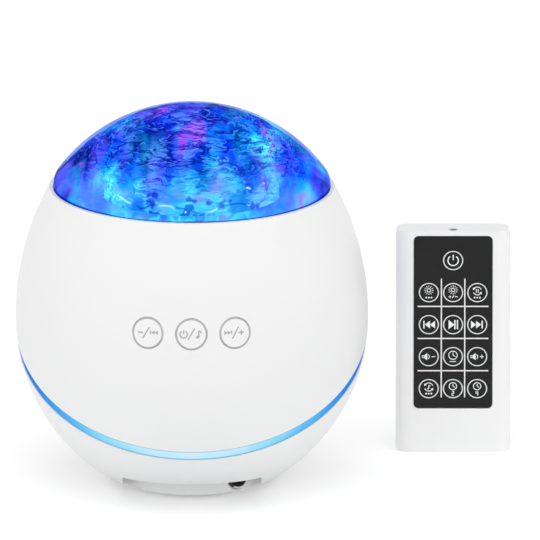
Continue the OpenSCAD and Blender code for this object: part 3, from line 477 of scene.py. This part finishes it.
# %% Shell of the dome
DOME_CAP_R = 62.44 * MM
DOME_CAP_Z = 81.96 * MM
DOME_ROUND_X = 45.75 * MM
DOME_ROUND_Z = 115.01 * MM
DOME_WALL = 2.2 * MM
SEAT_Z = 109.7 * MM


def dome_shell(bm, inset, cap_steps, turn_steps):
    """One skin of the dome, drawn in by an inset."""
    before = {*bm.verts, *bm.edges}
    cap_turn = math.atan2(DOME_ROUND_X, DOME_ROUND_Z - DOME_CAP_Z)
    pole = bm.verts.new((0.0, 0.0, DOME_CAP_Z + DOME_CAP_R - inset))
    cap_end = draw_arc(bm, pole, (0.0, 0.0, DOME_CAP_Z), cap_turn, cap_steps)
    round_end = draw_arc(bm, cap_end, (DOME_ROUND_X, 0.0, DOME_ROUND_Z), math.pi / 2 - cap_turn, 8)
    draw_down(bm, round_end, SEAT_Z, 3)
    turn_full(bm, before, turn_steps)


bm = bmesh.new()
dome_shell(bm, 0.0, 72, 256)
outside_faces = set(bm.faces)
dome_shell(bm, DOME_WALL, 120, 256)
for face in bm.faces:
    face.material_index = 0 if face in outside_faces else 1
close_shell(bm, "dome")

# %% [markdown]
# The ripples are real: each vertex of the inside moves along its normal by a twisted noise.
# They fade out towards the rim, where the dome stands in its seat. The wall gets thinner at
# the rim and towards the top, so that the coloured inside lies close under the outside and
# only a narrow clear edge shows.

# %% Ripples on the inside of the dome
DOME_RIPPLE = 0.55 * MM
DOME_RIPPLE_Z = (117 * MM, 126 * MM)
RIM_THINNING = 1.9 * MM
RIM_THINNING_Z = (112 * MM, 118 * MM)
TOP_THINNING = 1.0 * MM
TOP_THINNING_Z = (128 * MM, 142 * MM)


def ripple(point, scale, twist):
    """Height of the water ripples at a point, between 0 and 1, with sharp crests."""
    slow = point * scale * 0.6
    bent = point * scale + twist * Vector((
        noise.noise(slow), noise.noise(slow + Vector((7.0, 0.0, 0.0))),
        noise.noise(slow + Vector((0.0, 7.0, 0.0)))))
    return 1.0 - min(1.0, 1.6 * abs(noise.noise(bent)))


def fade(value, low, high):
    """0 below low, 1 above high, smooth in between."""
    share = min(1.0, max(0.0, (value - low) / (high - low)))
    return share * share * (3.0 - 2.0 * share)


inside = {vert for face in bm.faces if face.material_index == 1 for vert in face.verts}
moves = {vert: vert.normal * -DOME_RIPPLE * ripple(vert.co, 130.0, 1.3)
         * fade(vert.co.z, *DOME_RIPPLE_Z) for vert in inside}
for vert, move in moves.items():
    vert.co += move
    out = Vector((vert.co.x, vert.co.y, 0.0)).normalized()
    vert.co += out * RIM_THINNING * (1.0 - fade(vert.co.z, *RIM_THINNING_Z))
    vert.co += Vector(UPRIGHT) * TOP_THINNING * fade(vert.co.z, *TOP_THINNING_Z)
print(f"rippled {len(moves)} vertices of the dome's inside")

# %% [markdown]
# The outside is clear plastic that bends light very little, so the inside isn't magnified.
# It carries a faint painted tint of the coloured light under it, which shows along its edge.

# %% Clear plastic
clear_plastic, tree, shader = new_finish("clear_plastic", Transmission_Weight=1.0, IOR=1.02)
point = object_point(tree)
# Painted light: patches of blue to cyan stand in for the glow seen through the clear wall.
painted_edge_light = cloud(tree, point, 48.0, 1.0, shift=(4.0, 1.0, 6.0))
smears = cloud(tree, point, 70.0, 3.0)
vary(tree, shader,
     Base_Color=colour_steps(tree, painted_edge_light, [
         (0.38, tint(112, 124, 232)), (0.47, tint(104, 146, 236)), (0.54, tint(110, 172, 240)),
         (0.62, tint(120, 206, 242))]),
     Roughness=spread(tree, smears, 0.35, 0.75, 0.01, 0.04))
print("clear plastic is ready")

# %% [markdown]
# The inside wears the water light as a thin glowing film. Low down at the front the film is
# thin, so the lens and the ring plate show through. Towards the top, the sides and the back
# it thickens until the ripples fill the dome, and it turns deeper blue. A dark line of painted
# shade marks where the dome meets its seat in front.

# %% Film of water light, and the finished dome
FILM_SIDE_X = (26 * MM, 44 * MM)
FILM_BACK_Y = (-4 * MM, 14 * MM)
FILM_LIFT_Z = (118 * MM, 140 * MM)
FILM_LINES_Z = (117 * MM, 132 * MM)
FILM_COVER_Z = (117 * MM, 137 * MM)
SEAT_SHADE_Z = (113.6 * MM, 114.3 * MM)


def settle(bm, name, body, finishes, replaced=(), smooth=True):
    """Makes a piece from a bmesh: faces, finishes, the body it rides on and what it replaces."""
    for face in bm.faces:
        face.smooth = smooth
    mesh = bpy.data.meshes.new(name)
    bm.to_mesh(mesh)
    bm.free()
    for finish in finishes:
        mesh.materials.append(finish)
    piece = place(mesh, name)
    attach(piece, body)
    if replaced:
        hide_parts(*replaced)
    print(f"{name}: {len(mesh.polygons)} faces on {body}")


water_film, tree, shader = new_finish(
    "water_film", Base_Color=tint(2, 6, 30), Roughness=0.3, Specular_IOR_Level=0.0, Emission_Strength=1.65)
point = object_point(tree)
height = axis(tree, point, "Z")
side_share = spread(tree, reckon(tree, "ABSOLUTE", axis(tree, point, "X")), *FILM_SIDE_X, 0.0, 0.7)
back_share = spread(tree, axis(tree, point, "Y"), *FILM_BACK_Y, 0.0, 1.0)
lift = reckon(tree, "SUBTRACT", spread(tree, height, *FILM_LIFT_Z, 0.16, -0.085),
              reckon(tree, "MULTIPLY", side_share, 0.23))
colour, lines = water_light(tree, 0.0, 240.0, spread(tree, height, *FILM_LINES_Z, 0.12, 1.0), lift)
# Painted shade: the glow turns navy where the dome meets its seat, in front only.
seat_shade_line = reckon(tree, "SUBTRACT", spread(tree, height, *SEAT_SHADE_Z, 0.9, 0.0), back_share)
seat_shade_line = reckon(tree, "MAXIMUM", seat_shade_line, 0.0)
patchy = spread(tree, cloud(tree, point, 55.0, 2.0, shift=(2.0, 9.0, 4.0)), 0.35, 0.65, -0.15, 0.15)
cover = reckon(tree, "ADD", spread(tree, height, *FILM_COVER_Z, 0.08, 0.97), patchy)
for more in (reckon(tree, "MULTIPLY", lines, 0.6), back_share, side_share):
    cover = reckon(tree, "ADD", cover, more)
vary(tree, shader,
     Emission_Color=blend_colours(tree, seat_shade_line, colour, NAVY),
     Alpha=reckon(tree, "ADD", cover, seat_shade_line, clamp=True))
settle(bm, "water_dome", "projector", [clear_plastic, water_film], ["outer_dome"])

# %% [markdown]
# ## Wave lens
# Under the dome a second, smaller dome turns slowly. It is cast with deep ripples. It is
# spun in the same way as the outer dome, and its skin is moved inwards only, so that it
# never leaves the room that its solid has.

# %% Lens by spins and ripples
LENS_CAP_R = 33.01 * MM
LENS_CAP_Z = 105.69 * MM
LENS_RIM_R = 32.256 * MM
LENS_FOOT_Z = 108.7 * MM
LENS_WALL = 2.0 * MM
LENS_RIPPLE = 1.1 * MM
LENS_RIPPLE_Z = (108.9 * MM, 113 * MM)


def lens_shell(bm, inset, cap_steps, turn_steps):
    """One skin of the lens, drawn in by an inset."""
    before = {*bm.verts, *bm.edges}
    radius = LENS_CAP_R - inset
    rim_turn = math.asin((LENS_RIM_R - inset) / radius)
    pole = bm.verts.new((0.0, 0.0, LENS_CAP_Z + radius))
    rim = draw_arc(bm, pole, (0.0, 0.0, LENS_CAP_Z), rim_turn, cap_steps)
    draw_down(bm, rim, LENS_FOOT_Z, 4)
    turn_full(bm, before, turn_steps)


bm = bmesh.new()
lens_shell(bm, 0.0, 110, 240)
outer_skin = list(bm.verts)
lens_shell(bm, LENS_WALL, 24, 240)
close_shell(bm, "lens")
moves = {vert: vert.normal * -LENS_RIPPLE * (1.0 - ripple(vert.co, 95.0, 1.6))
         * fade(vert.co.z, *LENS_RIPPLE_Z) for vert in outer_skin if vert.is_valid}
for vert, move in moves.items():
    vert.co += move
print(f"rippled {len(moves)} vertices of the lens")

# %% [markdown]
# The lens glows in the same water light, but paler, because the lamps are right under it. It
# is palest near its foot. A broken line of painted shade and painted highlight runs round its
# edge, and blots like drops of water lie in its glow, some of painted shade and some with a
# small painted glint. Cells of a Voronoi texture give the drops, and a little noise takes away
# their roundness.

# %% Glow of the lens
LENS_LOW_Z = (111 * MM, 126 * MM)
LENS_PATCHES = (
    (3.0, 0.53, 0.66, 0.75, tint(176, 134, 252)),
    (7.0, 0.54, 0.64, 0.8, tint(4, 112, 176)),
)
LENS_EDGE_Z = 112.8 * MM
LENS_EDGE_WIDTH = 0.6 * MM
LENS_EDGE_WOBBLE = 1.3 * MM
DROP_SCALE = 140.0
DROP_WARP = 7 * MM
GLINT_WAY = Vector((1.0, 0.0, 0.7))

lens_glow, tree, shader = new_finish(
    "lens_glow", Base_Color=tint(2, 8, 40), Roughness=0.1, Specular_IOR_Level=0.05, Emission_Strength=1.9)
point = object_point(tree)
height = axis(tree, point, "Z")
colour, _ = water_light(tree, 31.0, 170.0, 1.0, 0.17)
low_share = spread(tree, height, *LENS_LOW_Z, 0.3, 0.0)
colour = blend_colours(tree, low_share, colour, tint(112, 226, 255))
colour = add_patches(tree, colour, LENS_PATCHES, point, 75.0, 1.0, lambda shift: (shift, 2.0, 5.0))

wobble = spread(tree, cloud(tree, point, 90.0, 2.0), 0.3, 0.7, -LENS_EDGE_WOBBLE, LENS_EDGE_WOBBLE)
edge_line = level_line(tree, reckon(tree, "ADD", height, wobble), LENS_EDGE_Z, LENS_EDGE_WIDTH)
breaks = cloud(tree, point, 120.0, 2.0, shift=(1.0, 6.0, 2.0))
# Painted shade and painted highlight: the broken dark and pale line round the lens's edge.
for low, high, hue in ((0.42, 0.56, tint(6, 52, 168)), (0.46, 0.36, tint(214, 240, 255))):
    stroke = reckon(tree, "MULTIPLY", edge_line, spread(tree, breaks, low, high, 0.0, 0.8))
    colour = blend_colours(tree, stroke, colour, hue)

warp = cloud(tree, point, 260.0, 1.0, shift=(6.0, 4.0, 1.0), output=1)
warped = bend(tree, point, warp, DROP_WARP, (1.0, 1.0, 1.0))
# Painted shade and painted glints: dark blots, with white glints set off beside them.
for off, reach, share, hue in (
        (0.0, 0.44, 0.9, tint(6, 60, 164)), (1.6 * MM, 0.13, 1.0, tint(250, 252, 255))):
    moved = reckon_points(tree, "ADD", warped, GLINT_WAY * off)
    drops = add_node(tree, "TexVoronoi", {"Vector": moved, "Scale": DROP_SCALE}).outputs["Distance"]
    colour = blend_colours(tree, spread(tree, drops, 0.7 * reach, reach, share, 0.0), colour, hue)
vary(tree, shader, Emission_Color=colour)
settle(bm, "rippled_lens", "lens_turntable", [lens_glow], ["wave_lens"])

# %% [markdown]
# ## Ring plate round the lens
# A plate hides the gears. The light of the lens falls on it, so it shows soft blots. They are
# deep blue at the sides, and columns of cyan, teal and violet in front. Noise that is drawn
# out along the depth gives the columns.

# %% Ring plate
PLATE_FRONT_Y = (-44 * MM, -18 * MM)
PLATE_COLUMNS = [
    (0.36, tint(10, 120, 170)), (0.44, tint(60, 190, 246)), (0.5, tint(96, 236, 252)),
    (0.56, tint(50, 150, 250)), (0.62, tint(120, 140, 252)), (0.7, tint(80, 220, 250))]

plate_glow, tree, shader = new_finish(
    "plate_glow", Base_Color=tint(4, 14, 50), Roughness=0.3, Specular_IOR_Level=0.05,
    Emission_Strength=1.75)
point = object_point(tree)
colour, _ = water_light(tree, 64.0, 110.0, 0.25, 0.0)
front_share = spread(tree, axis(tree, point, "Y"), *PLATE_FRONT_Y, 0.85, 0.0)
stripes = reckon_points(tree, "MULTIPLY", point, (1.0, 0.25, 0.0))
columns = colour_steps(tree, cloud(tree, stripes, 150.0, 1.0, shift=(8.0, 1.0, 0.0)), PLATE_COLUMNS)
vary(tree, shader, Emission_Color=blend_colours(tree, front_share, colour, columns))
dress(plate_glow, "bezel_ring")

# %% [markdown]
# ## Printed signs
# Signs on buttons and keys are thin layers of ink. A picture of them would blur up close, so
# each sign is drawn flat from a few strokes: bars, arcs, discs and triangles, all made by
# bmesh operators. Then the flat ink gets its thickness, and a last step lays it on the
# surface that carries it. Signs are measured in millimetres.

# %% Strokes of ink
INK = 0.04 * MM
ARC_STEP = math.radians(7.5)


def bar(bm, x0, y0, x1, y1, width):
    """A straight stroke between two points."""
    run = Vector((x1 - x0, y1 - y0, 0.0))
    spot = Matrix.Translation(Vector((x0 + x1, y0 + y1, 0.0)) * MM / 2)
    turn = Matrix.Rotation(math.atan2(run.y, run.x), 4, "Z")
    size = Matrix.Diagonal((run.length * MM, width * MM, 1.0, 1.0))
    bmesh.ops.create_grid(bm, x_segments=1, y_segments=1, size=0.5, matrix=spot @ turn @ size)


def arc(bm, x, y, radius, width, start, turn):
    """A curved stroke about a point, from a start angle over a turn in degrees."""
    centre = Vector((x, y, 0.0)) * MM
    out = Vector((math.cos(math.radians(start)), math.sin(math.radians(start)), 0.0)) * MM
    ends = [bm.verts.new(centre + out * (radius + side * width / 2)) for side in (-1, 1)]
    stroke = bm.edges.new(ends)
    steps = max(6, round(abs(math.radians(turn)) / ARC_STEP))
    bmesh.ops.spin(bm, geom=[*ends, stroke], cent=centre, axis=UPRIGHT, angle=math.radians(turn),
                   steps=steps, use_merge=abs(turn) >= 360)


def disc(bm, x, y, radius, segments):
    """A filled circle."""
    bmesh.ops.create_circle(bm, cap_ends=True, segments=segments, radius=radius * MM,
                            matrix=Matrix.Translation(Vector((x, y, 0.0)) * MM))


def triangle(bm, x, y, size, turn, tall=1.0):
    """A filled triangle that points along a turn in degrees."""
    spot = Matrix.Translation(Vector((x, y, 0.0)) * MM)
    turned = Matrix.Rotation(math.radians(turn), 4, "Z") @ Matrix.Diagonal((1.0, tall, 1.0, 1.0))
    first_corner = Matrix.Rotation(-math.pi / 2, 4, "Z")
    bmesh.ops.create_circle(bm, cap_ends=True, segments=3, radius=size * MM,
                            matrix=spot @ turned @ first_corner)


def thicken(bm):
    """Gives flat ink its thickness, with the faces turned outwards."""
    bmesh.ops.remove_doubles(bm, verts=bm.verts, dist=0.001 * MM)
    top = bmesh.ops.extrude_face_region(bm, geom=list(bm.faces))["geom"]
    bmesh.ops.translate(bm, verts=only_verts(top), vec=(0.0, 0.0, INK))
    bmesh.ops.recalc_face_normals(bm, faces=bm.faces)


print("strokes are ready")

# %% Ink
def printed_ink(name, light, dark):
    """Ink with a slightly uneven cover."""
    finish, tree, shader = new_finish(name, Roughness=0.45)
    cover = cloud(tree, object_point(tree), 1500.0, 2.0)
    vary(tree, shader, Base_Color=colour_steps(tree, cover, [(0.3, dark), (0.65, light)]))
    return finish


grey_ink = printed_ink("grey_ink", tint(178, 178, 179), tint(168, 168, 170))
white_ink = printed_ink("white_ink", tint(255, 255, 255), tint(248, 248, 248))
print("ink is ready")

# %% [markdown]
# ## Signs on the three buttons
# The buttons follow the egg, so their ink is bent onto it: the height of a point gives the
# egg's radius there, and its sideways distance becomes a turn about the middle axis. Flat
# ink would sink into the round button or stand off it.

# %% Signs that several pieces share
def skip_sign(bm, x, y, way, size, bar_width, tall=1.0):
    """Two triangles and a bar: to the next tune with way 1, to the last one with way -1."""
    turn = 0 if way > 0 else 180
    for back in (1.35, -0.15):
        triangle(bm, x - way * back * size, y, size, turn, tall)
    bar_x = x + way * 1.45 * size
    bar_half = 0.87 * tall * size
    bar(bm, bar_x, y - bar_half, bar_x, y + bar_half, bar_width)


def power_sign(bm, x, y, radius, width):
    """A ring that is open at the top, with a bar in the gap."""
    arc(bm, x, y, radius, width, 125, 290)
    bar(bm, x, y + 0.1 * radius, x, y + 1.15 * radius, width)


def note_sign(bm, x, y, size, width):
    """A note with a stem and a flag."""
    disc(bm, x - 0.35 * size, y - 0.8 * size, 0.42 * size, 14)
    bar(bm, x, y - 0.8 * size, x, y + 1.0 * size, width)
    bar(bm, x, y + 0.95 * size, x + 0.75 * size, y + 0.45 * size, width)


print("shared signs are ready")

# %% Button signs
UPPER_ARC_R = 103.96 * MM
BELLY_Z = 64.0 * MM
BUTTON_Z = 74.4 * MM
BUTTON_STEP = math.radians(14.4)
BUTTON_RING_R = 5.54
BUTTON_RING_WIDTH = 0.44
INK_LIFT = 0.015 * MM
STROKE = 0.5


def egg_radius(height):
    """Radius of the egg above its widest level."""
    return math.sqrt(UPPER_ARC_R ** 2 - (height - BELLY_Z) ** 2) - (UPPER_ARC_R - BODY_RADIUS)


def wrap_on_egg(bm, turn):
    """Lays flat ink on the egg, round a button's middle."""
    for vert in bm.verts:
        height = BUTTON_Z + vert.co.y
        radius = egg_radius(height) + vert.co.z + INK_LIFT
        angle = turn + math.asin(vert.co.x / radius)
        vert.co = (radius * math.sin(angle), -radius * math.cos(angle), height)


def slash(bm, x):
    """The slanted stroke between two signs."""
    bar(bm, x, -2.05, x + 2.5, 2.25, STROKE)


def minus_button_sign(bm):
    bar(bm, -3.75, 0.1, -1.75, 0.1, STROKE)
    slash(bm, -1.85)
    skip_sign(bm, 2.35, 0.3, -1, 0.85, STROKE * 0.8)


def power_button_sign(bm):
    power_sign(bm, -2.9, 0.0, 1.35, STROKE)
    slash(bm, -1.3)
    note_sign(bm, 2.75, 0.05, 1.35, STROKE)


def plus_button_sign(bm):
    skip_sign(bm, -2.55, 0.3, 1, 0.85, STROKE * 0.8)
    slash(bm, -1.15)
    bar(bm, 1.35, 0.1, 3.35, 0.1, STROKE)
    bar(bm, 2.35, -0.9, 2.35, 1.1, STROKE)


for name, body, side, draw in (
        ("minus_ink", "minus_button", -1, minus_button_sign),
        ("power_ink", "power_button", 0, power_button_sign),
        ("plus_ink", "plus_button", 1, plus_button_sign)):
    bm = bmesh.new()
    draw(bm)
    arc(bm, 0.0, 0.0, BUTTON_RING_R, BUTTON_RING_WIDTH, 0, 360)
    thicken(bm)
    wrap_on_egg(bm, side * BUTTON_STEP)
    settle(bm, name, body, [grey_ink], smooth=False)

# %% [markdown]
# ## Overlay of the remote
# The overlay is a black printed sheet. It is almost even, so its colour and gloss change only
# a little, and a fine relief stands for the texture of the sheet. White lines part the keys.
# They are ink on the sheet, so they ride on the remote.

# %% Black overlay
overlay_black, tree, shader = new_finish("overlay_black", Specular_IOR_Level=0.2)
point = object_point(tree)
mottle = cloud(tree, point, 60.0, 3.0)
wear = cloud(tree, point, 220.0, 3.0)
vary(tree, shader,
     Base_Color=colour_steps(tree, mottle, [(0.3, tint(26, 26, 27)), (0.7, tint(30, 30, 31))]),
     Roughness=spread(tree, wear, 0.3, 0.7, 0.36, 0.46))
roughen(tree, shader, cloud(tree, point, 3200.0, 2.0), 0.2, 0.02 * MM)
key_nodes = sorted(name for name in solids if name.startswith("key_"))
dress(overlay_black, "remote_overlay", *key_nodes)

# %% Lines between the keys
REMOTE_X = 98.0
OVERLAY_FACE_Y = 36.1 * MM
INK_GAP = 0.005 * MM
GRID_WIDTH = 0.45
GRID_COLUMNS = (-4.4, 4.4)
GRID_FOOT_Z = 21.4
GRID_TOP_Z = 67.7
GRID_ROWS = (31.8, 44.4, 56.9)
GRID_SPANS = ((-13.3, -4.7), (-4.1, 4.1), (4.7, 13.3))
FLAT_TO_UPRIGHT = Matrix(((1, 0, 0, 0), (0, 0, -1, 0), (0, 1, 0, 0), (0, 0, 0, 1)))


def lay_on_remote(bm, x, z, face):
    """Stands flat ink upright on the remote's face, about a point."""
    spot = Matrix.Translation((x * MM, face - INK_GAP, z * MM))
    bmesh.ops.transform(bm, matrix=spot @ FLAT_TO_UPRIGHT, verts=bm.verts)


bm = bmesh.new()
for x in GRID_COLUMNS:
    bar(bm, x, GRID_FOOT_Z, x, GRID_TOP_Z, GRID_WIDTH)
for z in GRID_ROWS:
    for x0, x1 in GRID_SPANS:
        bar(bm, x0, z, x1, z, GRID_WIDTH)
thicken(bm)
lay_on_remote(bm, REMOTE_X, 0.0, OVERLAY_FACE_Y)
settle(bm, "key_lines", "remote", [white_ink], smooth=False)

# %% [markdown]
# ## Signs of the keys
# Each of the thirteen keys has a ring and a sign. First come the building blocks that more
# than one key uses, then one function for each sign. Each sign rides on its own key, so that
# it moves when the key is pressed.

# %% Building blocks of the signs
FINE = 0.3


def sun_sign(bm, x, y, size):
    """A ring with short rays."""
    arc(bm, x, y, 0.45 * size, FINE, 0, 360)
    for i in range(12):
        a = math.radians(30 * i)
        bar(bm, x + 0.78 * size * math.cos(a), y + 0.78 * size * math.sin(a),
            x + 1.2 * size * math.cos(a), y + 1.2 * size * math.sin(a), FINE * 0.75)


def clock_sign(bm, x, y, radius):
    """A dial with two hands."""
    arc(bm, x, y, radius, FINE, 0, 360)
    bar(bm, x, y - 0.1, x, y + 0.65 * radius, FINE)
    bar(bm, x, y, x + 0.55 * radius, y - 0.3 * radius, FINE)


def turning_arrows(bm, x, y, radius):
    """Two arrows that chase each other round."""
    for start in (20, 200):
        arc(bm, x, y, radius, FINE, start, 120)
        end = math.radians(start + 128)
        triangle(bm, x + radius * math.cos(end), y + radius * math.sin(end), 0.62, start + 218)


def speaker_sign(bm, x, y):
    """A loudspeaker seen from the side."""
    bar(bm, x - 1.35, y, x - 0.5, y, 1.1)
    triangle(bm, x, y, 1.25, 180, 1.3)
    arc(bm, x + 0.35, y, 1.05, FINE, -52, 104)


def mode_dots(bm):
    """Three dots: one of several ways to run."""
    for x in (-1.0, 0.0, 1.0):
        disc(bm, x, -1.95, 0.34, 12)


def figure_two(bm, x, y, h):
    """The figure two from five strokes."""
    for x0, y0, x1, y1 in ((-0.4, 1, 0.4, 1), (0.4, 1, 0.4, 0), (-0.4, 0, 0.4, 0),
                           (-0.4, 0, -0.4, -1), (-0.4, -1, 0.4, -1)):
        bar(bm, x + x0 * h, y + y0 * h, x + x1 * h, y + y1 * h, FINE)


def figure_four(bm, x, y, h):
    """The figure four from three strokes."""
    for x0, y0, x1, y1 in ((-0.45, 1, -0.45, -0.1), (-0.45, -0.1, 0.6, -0.1), (0.3, 1, 0.3, -1)):
        bar(bm, x + x0 * h, y + y0 * h, x + x1 * h, y + y1 * h, FINE)


print("building blocks of the signs are ready")

# %% One function for each sign
def play_sign(bm):
    triangle(bm, -0.95, 0.0, 1.45, 0, 1.45)
    for x in (0.7, 1.65):
        bar(bm, x, -1.8, x, 1.8, 0.5)


def brightness_sign(bm):
    sun_sign(bm, 0.0, 1.05, 1.5)
    bar(bm, -1.7, -1.6, -0.7, -1.6, FINE)
    bar(bm, -1.2, -2.1, -1.2, -1.1, FINE)
    bar(bm, -0.35, -2.15, 0.35, -1.05, FINE)
    bar(bm, 0.7, -1.6, 1.7, -1.6, FINE)


def light_sign(bm):
    sun_sign(bm, 0.0, 0.9, 1.5)
    mode_dots(bm)


def turn_sign(bm):
    turning_arrows(bm, 0.0, 0.65, 1.55)
    for x in (-0.35, 0.35):
        bar(bm, x, -0.1, x, 1.4, FINE)
    mode_dots(bm)


def volume_sign(bm, up):
    speaker_sign(bm, -1.2, 0.0)
    bar(bm, 1.05, 0.0, 2.45, 0.0, FINE)
    if up:
        bar(bm, 1.75, -0.7, 1.75, 0.7, FINE)


def timer_off_sign(bm):
    clock_sign(bm, 0.0, 0.55, 1.6)
    bar(bm, -1.2, -1.9, 1.2, -1.9, FINE)


def timer_sign(bm, figure):
    clock_sign(bm, 0.0, 0.95, 1.4)
    figure(bm, 0.0, -1.85, 0.85)


def music_sign(bm):
    turning_arrows(bm, 0.0, 0.65, 1.6)
    note_sign(bm, 0.05, 0.65, 0.75, FINE)
    mode_dots(bm)


def tune_sign(bm, way):
    skip_sign(bm, 0.0, 0.0, way, 1.27, 0.5, 1.36)


print("signs are ready")

# %% [markdown]
# The keys stand in three columns and five rows, with the power key alone on top. A table
# says which sign goes where, so that one loop can print them all.

# %% Signs on the keys
KEY_FACE_Y = 36.05 * MM
KEY_DX = 9.1
KEY_TOP_Z = 74.8
KEY_DZ = 12.5
KEY_RING_R = 3.55
KEY_RING_WIDTH = 0.34
SIGNS = (
    ("power", 0, 0, lambda bm: power_sign(bm, 0.0, 0.0, 1.95, 0.42)),
    ("light", -1, 1, light_sign),
    ("brightness", 0, 1, brightness_sign),
    ("turn", 1, 1, turn_sign),
    ("previous", -1, 2, lambda bm: tune_sign(bm, -1)),
    ("play", 0, 2, play_sign),
    ("next", 1, 2, lambda bm: tune_sign(bm, 1)),
    ("volume_down", -1, 3, lambda bm: volume_sign(bm, False)),
    ("timer_off", 0, 3, timer_off_sign),
    ("volume_up", 1, 3, lambda bm: volume_sign(bm, True)),
    ("music", -1, 4, music_sign),
    ("timer_two", 0, 4, lambda bm: timer_sign(bm, figure_two)),
    ("timer_four", 1, 4, lambda bm: timer_sign(bm, figure_four)),
)
for name, column, row, draw in SIGNS:
    bm = bmesh.new()
    draw(bm)
    arc(bm, 0.0, 0.0, KEY_RING_R, KEY_RING_WIDTH, 0, 360)
    thicken(bm)
    lay_on_remote(bm, REMOTE_X + column * KEY_DX, KEY_TOP_Z - row * KEY_DZ, KEY_FACE_Y)
    settle(bm, f"{name}_sign", f"{name}_key", [white_ink], smooth=False)

# %% [markdown]
# ## Pieces inside and below
# Most of these are hidden, but each gets a finish of its own kind, so that the part also
# looks right when it is taken apart: boards with copper tracks, drawn steel, brass, rubber,
# speaker paper and black moulded plastic. One function makes most of them from two colours,
# a gloss and a grain.

# %% Mottled finishes and circuit boards
def plain_kind(name, light, dark, scale, rough, grain, grain_scale, **steady):
    """A finish with a mottled colour, an uneven gloss and a fine grain."""
    finish, tree, shader = new_finish(name, **steady)
    point = object_point(tree)
    mottle = cloud(tree, point, scale, 4.0)
    vary(tree, shader,
         Base_Color=colour_steps(tree, mottle, [(0.3, dark), (0.7, light)]),
         Roughness=spread(tree, mottle, 0.3, 0.7, rough - 0.06, rough + 0.06))
    fine = cloud(tree, point, grain_scale, 3.0, shift=(5.0, 2.0, 8.0))
    roughen(tree, shader, fine, grain, 0.05 * MM)
    return finish


def circuit_board():
    """Green lacquer over copper tracks, which run as thin lighter lines."""
    finish, tree, shader = new_finish("circuit_board", Roughness=0.35, Specular_IOR_Level=0.5)
    point = object_point(tree)
    tracks = add_node(tree, "TexBrick", {
        "Vector": point, "Scale": 130.0, "Mortar Size": 0.05, "Color1": tint(14, 96, 52),
        "Color2": tint(12, 84, 46), "Mortar": tint(46, 140, 80)})
    pads = add_node(tree, "TexVoronoi", {"Vector": point, "Scale": 260.0})
    pad = spread(tree, pads.outputs["Distance"], 0.12, 0.17, 0.8, 0.0)
    vary(tree, shader, Base_Color=blend_colours(tree, pad, tracks.outputs["Color"], tint(196, 190, 150)))
    roughen(tree, shader, tracks.outputs["Fac"], 0.3, 0.05 * MM)
    return finish


print("finishes of the hidden pieces are ready")

# %% Dress the hidden pieces
white_inner = moulded_plastic("white_inner", tint(232, 234, 237), tint(224, 227, 231), 0.5, 0.2)
acetal = moulded_plastic("acetal", tint(232, 230, 220), tint(224, 221, 210), 0.4, 0.15)
black_plastic = plain_kind(
    "black_plastic", tint(26, 26, 28), tint(18, 18, 20), 80.0, 0.45, 0.25, 1800.0,
    Specular_IOR_Level=0.25)
drawn_steel = plain_kind(
    "drawn_steel", tint(204, 206, 210), tint(176, 178, 184), 140.0, 0.3, 0.2, 1500.0, Metallic=1.0)
soft_brass = plain_kind(
    "soft_brass", tint(214, 192, 120), tint(186, 160, 92), 120.0, 0.3, 0.2, 1500.0, Metallic=1.0)
foot_rubber = plain_kind(
    "foot_rubber", tint(240, 240, 238), tint(232, 232, 230), 120.0, 0.75, 0.3, 1200.0)
cone_paper = plain_kind("cone_paper", tint(66, 66, 68), tint(44, 44, 46), 200.0, 0.85, 0.8, 700.0)
magnet_grey = plain_kind(
    "magnet_grey", tint(104, 106, 112), tint(84, 86, 92), 90.0, 0.5, 0.3, 900.0, Metallic=0.4)
smoke_clear = plain_kind(
    "smoke_clear", tint(70, 66, 100), tint(56, 52, 84), 300.0, 0.12, 0.05, 1500.0,
    Transmission_Weight=0.6)
lamp_yellow = plain_kind(
    "lamp_yellow", tint(250, 240, 180), tint(240, 224, 150), 400.0, 0.3, 0.1, 1500.0,
    Emission_Color=tint(190, 220, 255), Emission_Strength=0.6)
dress(white_inner, "light_deck")
dress(acetal, "lens_carrier", "drive_pinion")
dress(black_plastic, "dc_socket", "board_parts", "tact_switches", "speaker_frame", "ir_receiver")
dress(drawn_steel, "motor_shaft", "gear_motor", "tie_screws", "cover_screws", "deck_screws",
      "small_screws", "door_screw", "snap_domes", "coin_cell")
dress(soft_brass, "cell_contacts")
dress(foot_rubber, "foot_ring")
dress(cone_paper, "speaker_cone")
dress(magnet_grey, "speaker_magnet")
dress(smoke_clear, "ir_emitter")
dress(lamp_yellow, "led_emitters", "ring_led_strip")
dress(circuit_board(), "led_board", "button_board", "main_board", "remote_board")
